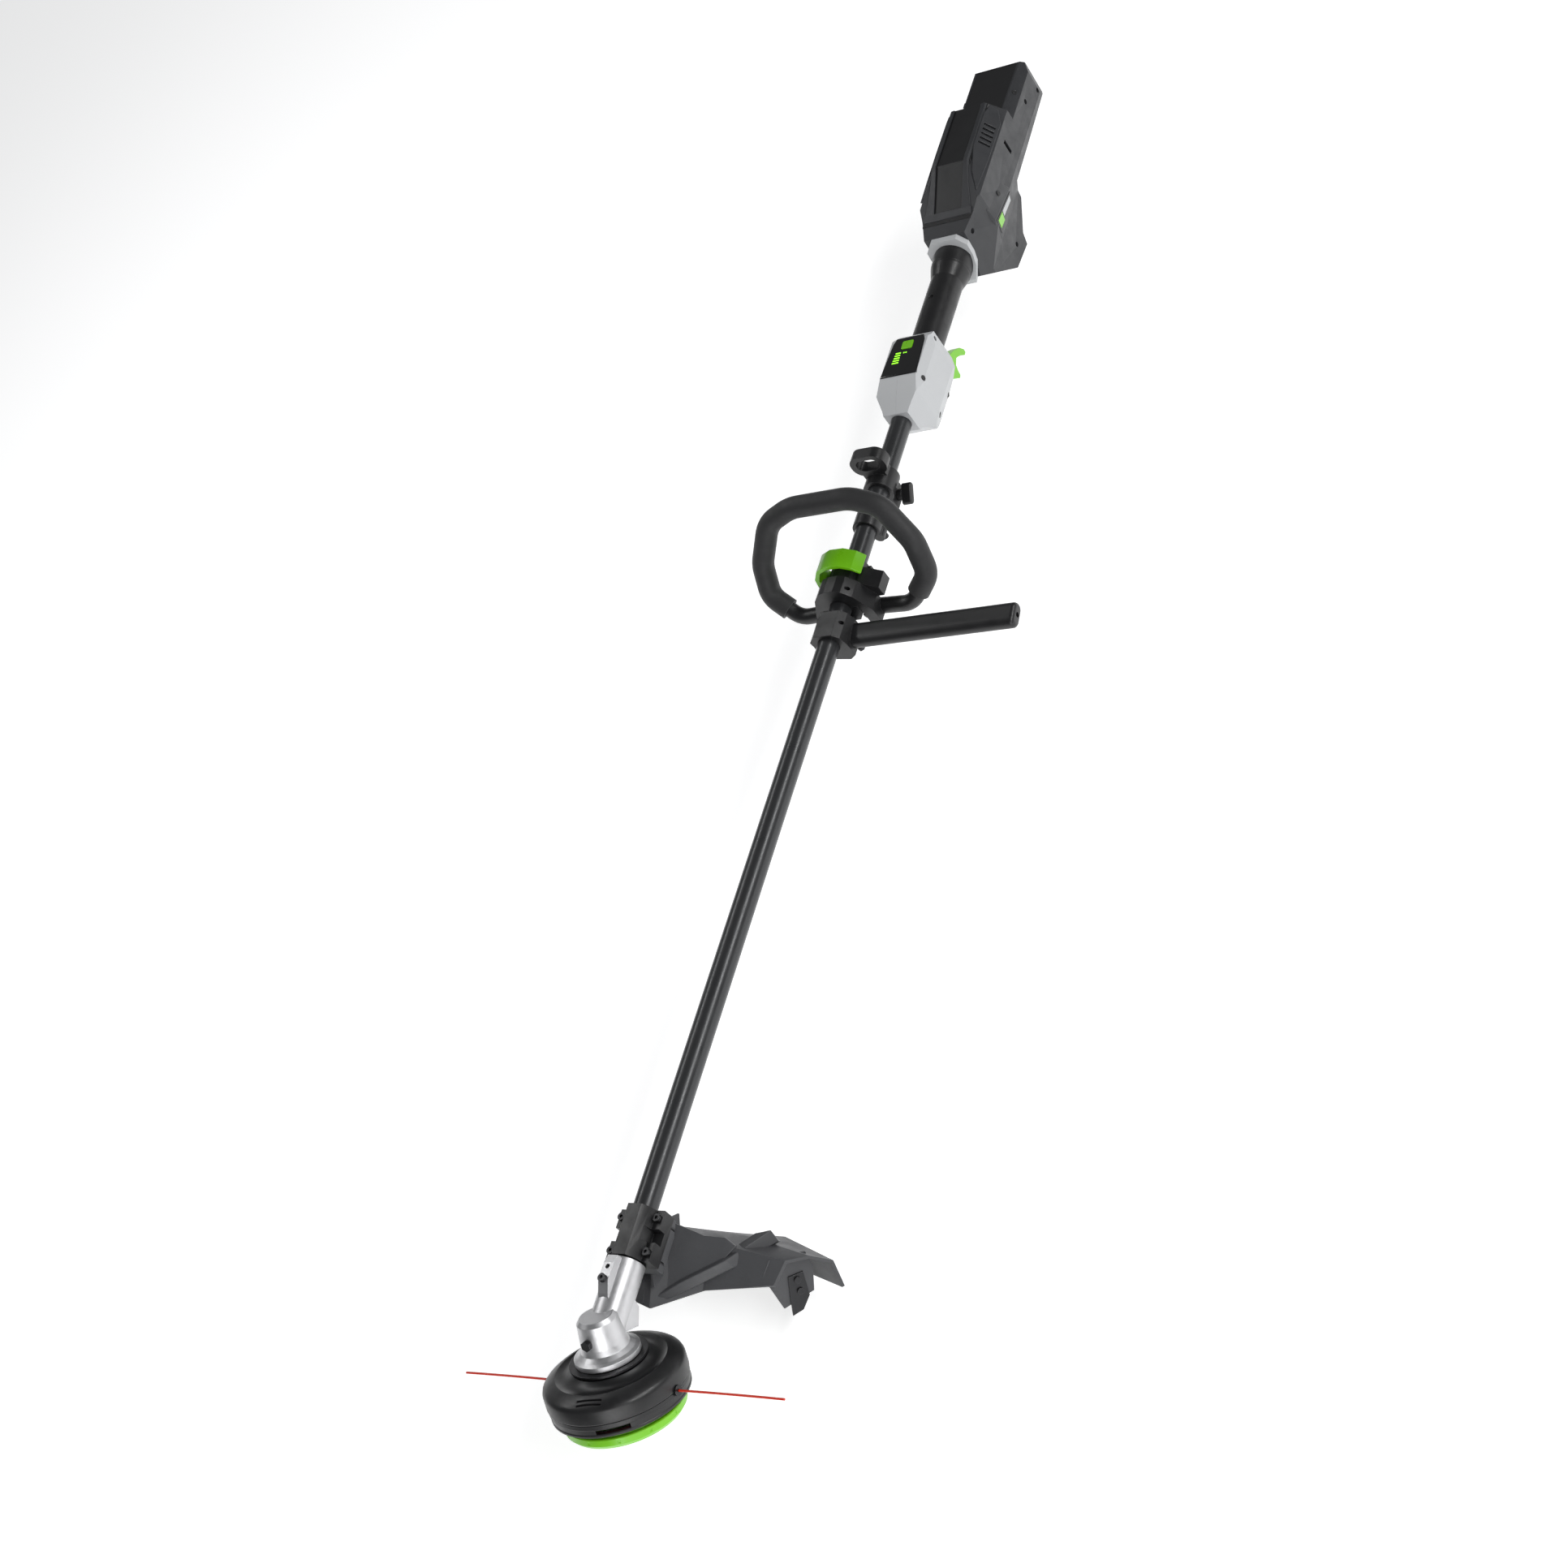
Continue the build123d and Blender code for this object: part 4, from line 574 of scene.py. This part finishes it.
def cut(piece, cutters):
    """Take the cutters out of a piece, and keep the result as its mesh."""
    for cutter in cutters:
        modifier = piece.modifiers.new("cut", "BOOLEAN")
        modifier.operation = "DIFFERENCE"
        modifier.solver = "EXACT"
        modifier.object = cutter
    bpy.context.view_layer.update()
    graph = bpy.context.evaluated_depsgraph_get()
    made = bpy.data.meshes.new_from_object(piece.evaluated_get(graph))
    piece.modifiers.clear()
    piece.data = made
    made.shade_smooth()
    made.set_sharp_from_angle(angle=math.radians(SHARP_ANGLE))
    for cutter in cutters:
        bpy.data.objects.remove(cutter)
    return piece


def block(centre, axes, sizes):
    """A plain cutting block, which is used up by cut()."""
    mesh = bmesh.new()
    bmesh.ops.create_cube(mesh, size=1)
    turn = Matrix([Vector(a).normalized() for a in axes]).transposed().to_4x4()
    scale = Matrix.Diagonal((*sizes, 1))
    mesh.transform(Matrix.Translation(centre) @ turn @ scale)
    bmesh.ops.recalc_face_normals(mesh, faces=mesh.faces)
    data = bpy.data.meshes.new("cutter")
    mesh.to_mesh(data)
    mesh.free()
    cutter = bpy.data.objects.new("cutter", data)
    bpy.context.collection.objects.link(cutter)
    return cutter


SEAT_DEPTH = 3.0


def screw_seat(name, place, direction, radius=3.3):
    """The dark end of a sunk screw: a round plug with a rim and a small socket, just proud of the skin."""
    turn = Vector(direction).normalized().to_track_quat("Z", "Y").to_matrix()
    outline = ((radius, -SEAT_DEPTH), (radius, 0.30), (radius - 0.35, 0.40), (radius - 0.7, 0.30),
               (radius - 0.9, 0.12), (1.5, 0.12), (1.3, 0.24), (0.9, 0.24), (0.7, 0.05), (0.01, 0.05),
               (0.01, -SEAT_DEPTH))
    mesh = bmesh.new()
    steps = 24
    rings = []
    for i in range(steps):
        a = 2 * math.pi * i / steps
        spots = [Vector((r * math.cos(a), r * math.sin(a), h)) for r, h in outline]
        rings.append([mesh.verts.new(Vector(place) + turn @ spot * MM) for spot in spots])
    for i, ring in enumerate(rings):
        skin_over(mesh, ring, rings[(i + 1) % steps])
    bmesh.ops.recalc_face_normals(mesh, faces=mesh.faces)
    return add_piece(name, mesh, "black", "shaft_unit")


def skin_point(node, x, z, sign):
    """Where the side of a CAD node lies at x and z, read beside the hole there, and which way it faces."""
    aside = 5.0
    mesh = bmesh.new()
    mesh.from_mesh(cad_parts[node].data)
    skin = BVHTree.FromBMesh(mesh)
    mesh.free()
    place, normal, _, _ = skin.ray_cast(at(x + aside, sign * 90, z), Vector((0, -sign, 0)))
    return place - Vector((aside * MM, 0, 0)), normal


# ---------------------------------------------------------------- cutting head
HEAD_STEPS = 144
HEAD_SHELL = (
    (17, -31), (17, -27.6), (35.5, -27.6), (36.2, -24.4), (37.2, -23.5), (38.8, -23.6), (40.2, -25.0),
    (42.5, -27.2), (46.5, -28.9), (50.5, -29.2), (54, -28.4), (56.2, -27.4), (58.2, -27.7), (64, -30.6),
    (68.2, -33.2), (70.4, -35.4), (71.4, -38.2), (71.5, -50.4), (70.9, -51.4), (69.2, -51.6),
    (68.4, -51.0), (68.4, -38.4), (66.0, -35.6), (56, -31.4), (50, -32.0))
HEAD_SKIRT = (
    (66.0, -46.0), (67.6, -46.0), (67.8, -51.9), (70.4, -52.2), (70.6, -56.4), (69.9, -57.2),
    (69.6, -62.2), (70.2, -63.0), (70.0, -65.0), (68.6, -66.0), (59.4, -66.0), (59.0, -64.4),
    (64.6, -63.4), (66.0, -61))
SLOT_TURN = 195
SLOT_SIZE = (0.026, 0.0018, 0.006)
WINDOW_SIZE = (0.034, 0.02, 0.0046)
EYELET_GAP = (0.013, 0.008, 0.010)


def head_block(turn, radius, height, size):
    """A cutting block on the head, its size given along the rim, outwards and along the axis."""
    out = HEAD_OUT * math.cos(math.radians(turn)) + SIDE * math.sin(math.radians(turn))
    return block(on_head(turn, radius, height), (HEAD_AXIS.cross(out), out, HEAD_AXIS), size)


def head_pieces():
    shell = lathe("head_shell", HEAD_SHELL, "black", "cutting_head", HEAD_STEPS)
    cut(shell, [head_block(SLOT_TURN, radius, -31.8, SLOT_SIZE) for radius in (61.6, 65.6)])
    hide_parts("head_housing")
    skirt = lathe("head_skirt", HEAD_SKIRT, "black", "cutting_head", HEAD_STEPS)
    windows = [head_block(60 * i + 30, 66, -59.7, WINDOW_SIZE) for i in range(6)]
    windows += [head_block(turn, 70, -54.5, EYELET_GAP) for turn in (90, -90)]
    cut(skirt, windows)
    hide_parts("head_base")


# ---------------------------------------------------------------- control housing
SIDES = (("left", 1), ("right", -1))
GRIP_SCREWS = ((1208, 21), (1199, -33), (1240, -42), (1274, 20))
DISPLAY_TOP = 34.25
LIT_HEIGHT = 0.00018
CHARGE_MIDDLE = 9.5


def lit_mark(name, x, low, high):
    """A lit bar 1.9 mm long on the display, from low to high across it."""
    corners = [at(x, low, DISPLAY_TOP), at(x + 1.9, low, DISPLAY_TOP),
               at(x + 1.9, high, DISPLAY_TOP), at(x, high, DISPLAY_TOP)]
    lit = slab(name, corners, (0, 0, LIT_HEIGHT), "lime")
    lit.data.materials.clear()
    lit.data.materials.append(LED)


def control_pieces():
    for side, _ in SIDES:
        rounded_copy(f"control_housing_{side}", "shaft_unit", 0.0016, 18, 4)
    rounded_copy("display_panel", "shaft_unit", 0.0006, 28, 2)
    rounded_copy("trigger", "trigger_lever", 0.0012, 30, 3)
    for side, sign in SIDES:
        for i, (x, z) in enumerate(GRIP_SCREWS):
            place, normal = skin_point(f"control_housing_{side}", x, z, sign)
            screw_seat(f"grip_screw_{side}_{i + 1}", place, normal)
    for i in range(5):
        half = 4.6 - 0.25 * i
        lit_mark(f"charge_bar_{i + 1}", 1228.0 + 4.0 * i, CHARGE_MIDDLE - half, CHARGE_MIDDLE + half)
    for i, y in enumerate((-2.5, 0.5)):
        lit_mark(f"mode_mark_{i + 1}", 1243.5, y, y + 1.8)


# ---------------------------------------------------------------- rear housing
def side_badge(side, sign):
    """The bulge low on the side, with a blank two-tone badge on its lower facet."""
    front = [at(1487, sign * 42.4, 21), at(1486, sign * 45.4, 2), at(1496, sign * 33.6, -36)]
    rear = [at(1542, sign * 42.4, 16), at(1551, sign * 46, -5), at(1553, sign * 33.6, -38)]
    inner = [at(x, sign * 30, z) for x, z in ((1482, 20), (1490, -36), (1542, 14), (1553, -36))]
    hull(f"side_bulge_{side}", front + rear + inner, "graphite", 0.0012)
    top_front, low_front = front[1:]
    top_rear, low_rear = rear[1:]
    normal = (top_rear - top_front).cross(low_front - top_front).normalized()
    if normal.y * sign < 0:
        normal = -normal

    def spot(along, down, lift):
        top = top_front.lerp(top_rear, along)
        low = low_front.lerp(low_rear, along)
        return top.lerp(low, down) + normal * lift

    def plate(name, along, down, lift, thick, finish):
        corners = [spot(along[0], down[0], lift), spot(along[1], down[0], lift),
                   spot(along[1], down[1], lift), spot(along[0], down[1], lift)]
        slab(f"{name}_{side}", corners, normal * thick, finish, 0.0002)

    plate("badge_plate", (0.05, 0.95), (0.08, 0.80), -0.0004, 0.0011, "black")
    plate("badge_lime", (0.10, 0.36), (0.16, 0.60), 0.0006, 0.0005, "lime")
    plate("badge_light", (0.39, 0.88), (0.16, 0.44), 0.0006, 0.0005, "light_grey")
    screw_seat(f"bulge_screw_{side}", at(1526, sign * 44.2, 11), (0, sign, 0.18), 3.4)


# Along the cover's edge: X, Z, and how far the lip spreads past the straight edge at Y 25.
LIP_LINE = ((1469, 37.6, 9.0), (1476, 40.6, 7.5), (1510, 55.0, 2.0), (1535, 65.8, 0.4),
            (1600, 66.0, 0.2), (1637, 66.0, 0.0))
LIP_EDGE = 25.0


def cover_lip(side, sign):
    """The raised edge of the smooth cover, and a black strip below it: painted shadow that reads as the
    shaded gap under the lip.
    """
    bars, shadow_strips = [], []
    for x, z, spread in LIP_LINE:
        edge = LIP_EDGE + spread
        fall = 0.1 * spread
        bar = ((19.8, z - 0.6), (19.8, z + 1.9), (edge, z + 1.5),
               (edge + 1.9, z - 1.4 - fall), (edge - 1, z - 2.6))
        # Section of the black strip below the lip: painted shadow standing where the gap would lie in
        # shade.
        shadow_strip = ((edge - 1, z - 1.2), (edge + 2.6, z - 1.6 - fall),
               (edge + 3.0, z - 3.6 - fall), (edge - 1, z - 5))
        bars.append([at(x, sign * y, height) for y, height in bar])
        shadow_strips.append([at(x, sign * y, height) for y, height in shadow_strip])
    sweep(f"cover_lip_{side}", bars, "graphite", 0.0006)
    # The black strip is painted shadow under the lip, not a part of the housing.
    sweep(f"cover_painted_shadow_{side}", shadow_strips, "black")


def cross_bar(name, outline, half_width, finish, round_off=0.0):
    """A bar across the housing, from an outline of X and Z."""
    ends = [[at(x, y, z) for x, z in outline] for y in (-half_width, half_width)]
    sweep(name, ends, finish, round_off)


NECK_SLEEVE = ((20.6, 1404), (25.4, 1411), (25.8, 1424), (26.4, 1441), (19, 1441), (19, 1404))


def rear_pieces():
    for side, _ in SIDES:
        rounded_copy(f"rear_housing_{side}", "shaft_unit", 0.0011, 18, 3)
    rounded_copy("top_cover", "shaft_unit", 0.0005, 18, 2)
    rounded_copy("vent_panels", "shaft_unit", 0.0006, 30, 2)
    rounded_copy("collar_band", "shaft_unit", 0.0012, 28, 3)
    lathe("neck_sleeve", NECK_SLEEVE, "black", "shaft_unit", 72, head=False)
    for side, sign in SIDES:
        side_badge(side, sign)
        cover_lip(side, sign)
        screw_seat(f"corner_screw_{side}", at(1688, sign * 37.5, 34.0), (0, sign * 0.745, 0.667))
    lip = ((1465.5, 36.2), (1466.5, 38.6), (1476, 42.4), (1476.5, 40.0))
    cross_bar("cover_lip_front", lip, 34, "graphite", 0.0006)
    # A black bar across the front, below the front lip: painted shadow where the gap would lie in shade.
    shadow_strip = ((1460.5, 35.0), (1460.5, 36.9), (1466.5, 37.8), (1466.5, 35.6))
    cross_bar("cover_painted_shadow_front", shadow_strip, 35, "black")


# ---------------------------------------------------------------- guard
GUARD_FACE = Vector((-0.396, -0.372, 0.840))
WEB_OUTLINE = ((136, -7, -23), (132, -30, -35), (129, -46, -44), (131, -66, -51), (126, -76, -59),
               (110, -64, -60), (85, -31, -57), (60, 5, -53.5), (57, 12, -52))
WEB_LIFT = 0.001
WEB_THICK = 0.0045
# Along the ridge: upper edge, crest, lower edge, how far the crest stands out and how far all of it sinks.
RIDGE = (((61, 9, -51.5), (59, 6, -53), (56, 2, -56), 1.5, 0),
         ((87, -25, -54), (84, -27, -55.5), (76, -28, -60), 5.0, 0),
         ((112, -58, -57), (112, -68, -61.5), (106, -74, -66), 6.0, 1.5),
         ((140, -88, -59), (146, -104, -62), (138, -110, -71), 1.0, 19))
RIDGE_DEPTH = 0.009


def guard_pieces():
    """The flat web from the clamp to the crease, and the ridge that runs out from the nose and sinks."""
    web = [at(*corner) + GUARD_FACE * WEB_LIFT for corner in WEB_OUTLINE]
    slab("guard_web", web, GUARD_FACE * -WEB_THICK, "guard_grey", 0.0006)
    sections = []
    for upper, crest, lower, lift, sink in RIDGE:
        high = at(*crest) + GUARD_FACE * lift * MM
        back = GUARD_FACE * RIDGE_DEPTH
        ring = [at(*upper), high, at(*lower), at(*lower) - back, at(*upper) - back]
        sections.append([point - GUARD_FACE * sink * MM for point in ring])
    sweep("guard_ridge", sections, "guard_grey", 0.0009)


# ---------------------------------------------------------------- clamps and handles
def clamp_pieces():
    rounded_copy("guard_clamp", "shaft_unit", 0.0009, 28, 2)
    rounded_copy("handle_clamp_jaw", "front_handle", 0.0009, 28, 2)
    rounded_copy("barrier_bar", "front_handle", 0.0014, 28, 3)
    rounded_copy("hanger_clamp", "hanger", 0.0011, 30, 3)
    rounded_copy("clamp_lever", "quick_lever", 0.0016, 34, 3)
    rounded_copy("hanger_knob", "hanger_wing", 0.0008, 30, 2)
    rounded_copy("stop_collar", "shaft_unit", 0.0007, 30, 2)


# ---------------------------------------------------------------- making the scene
make_camera()
cutting_line("cutting_line_left", "line_end_left", 1)
cutting_line("cutting_line_right", "line_end_right", -1)
make_studio()
make_floor()
finish_nodes()
head_pieces()
control_pieces()
rear_pieces()
guard_pieces()
clamp_pieces()
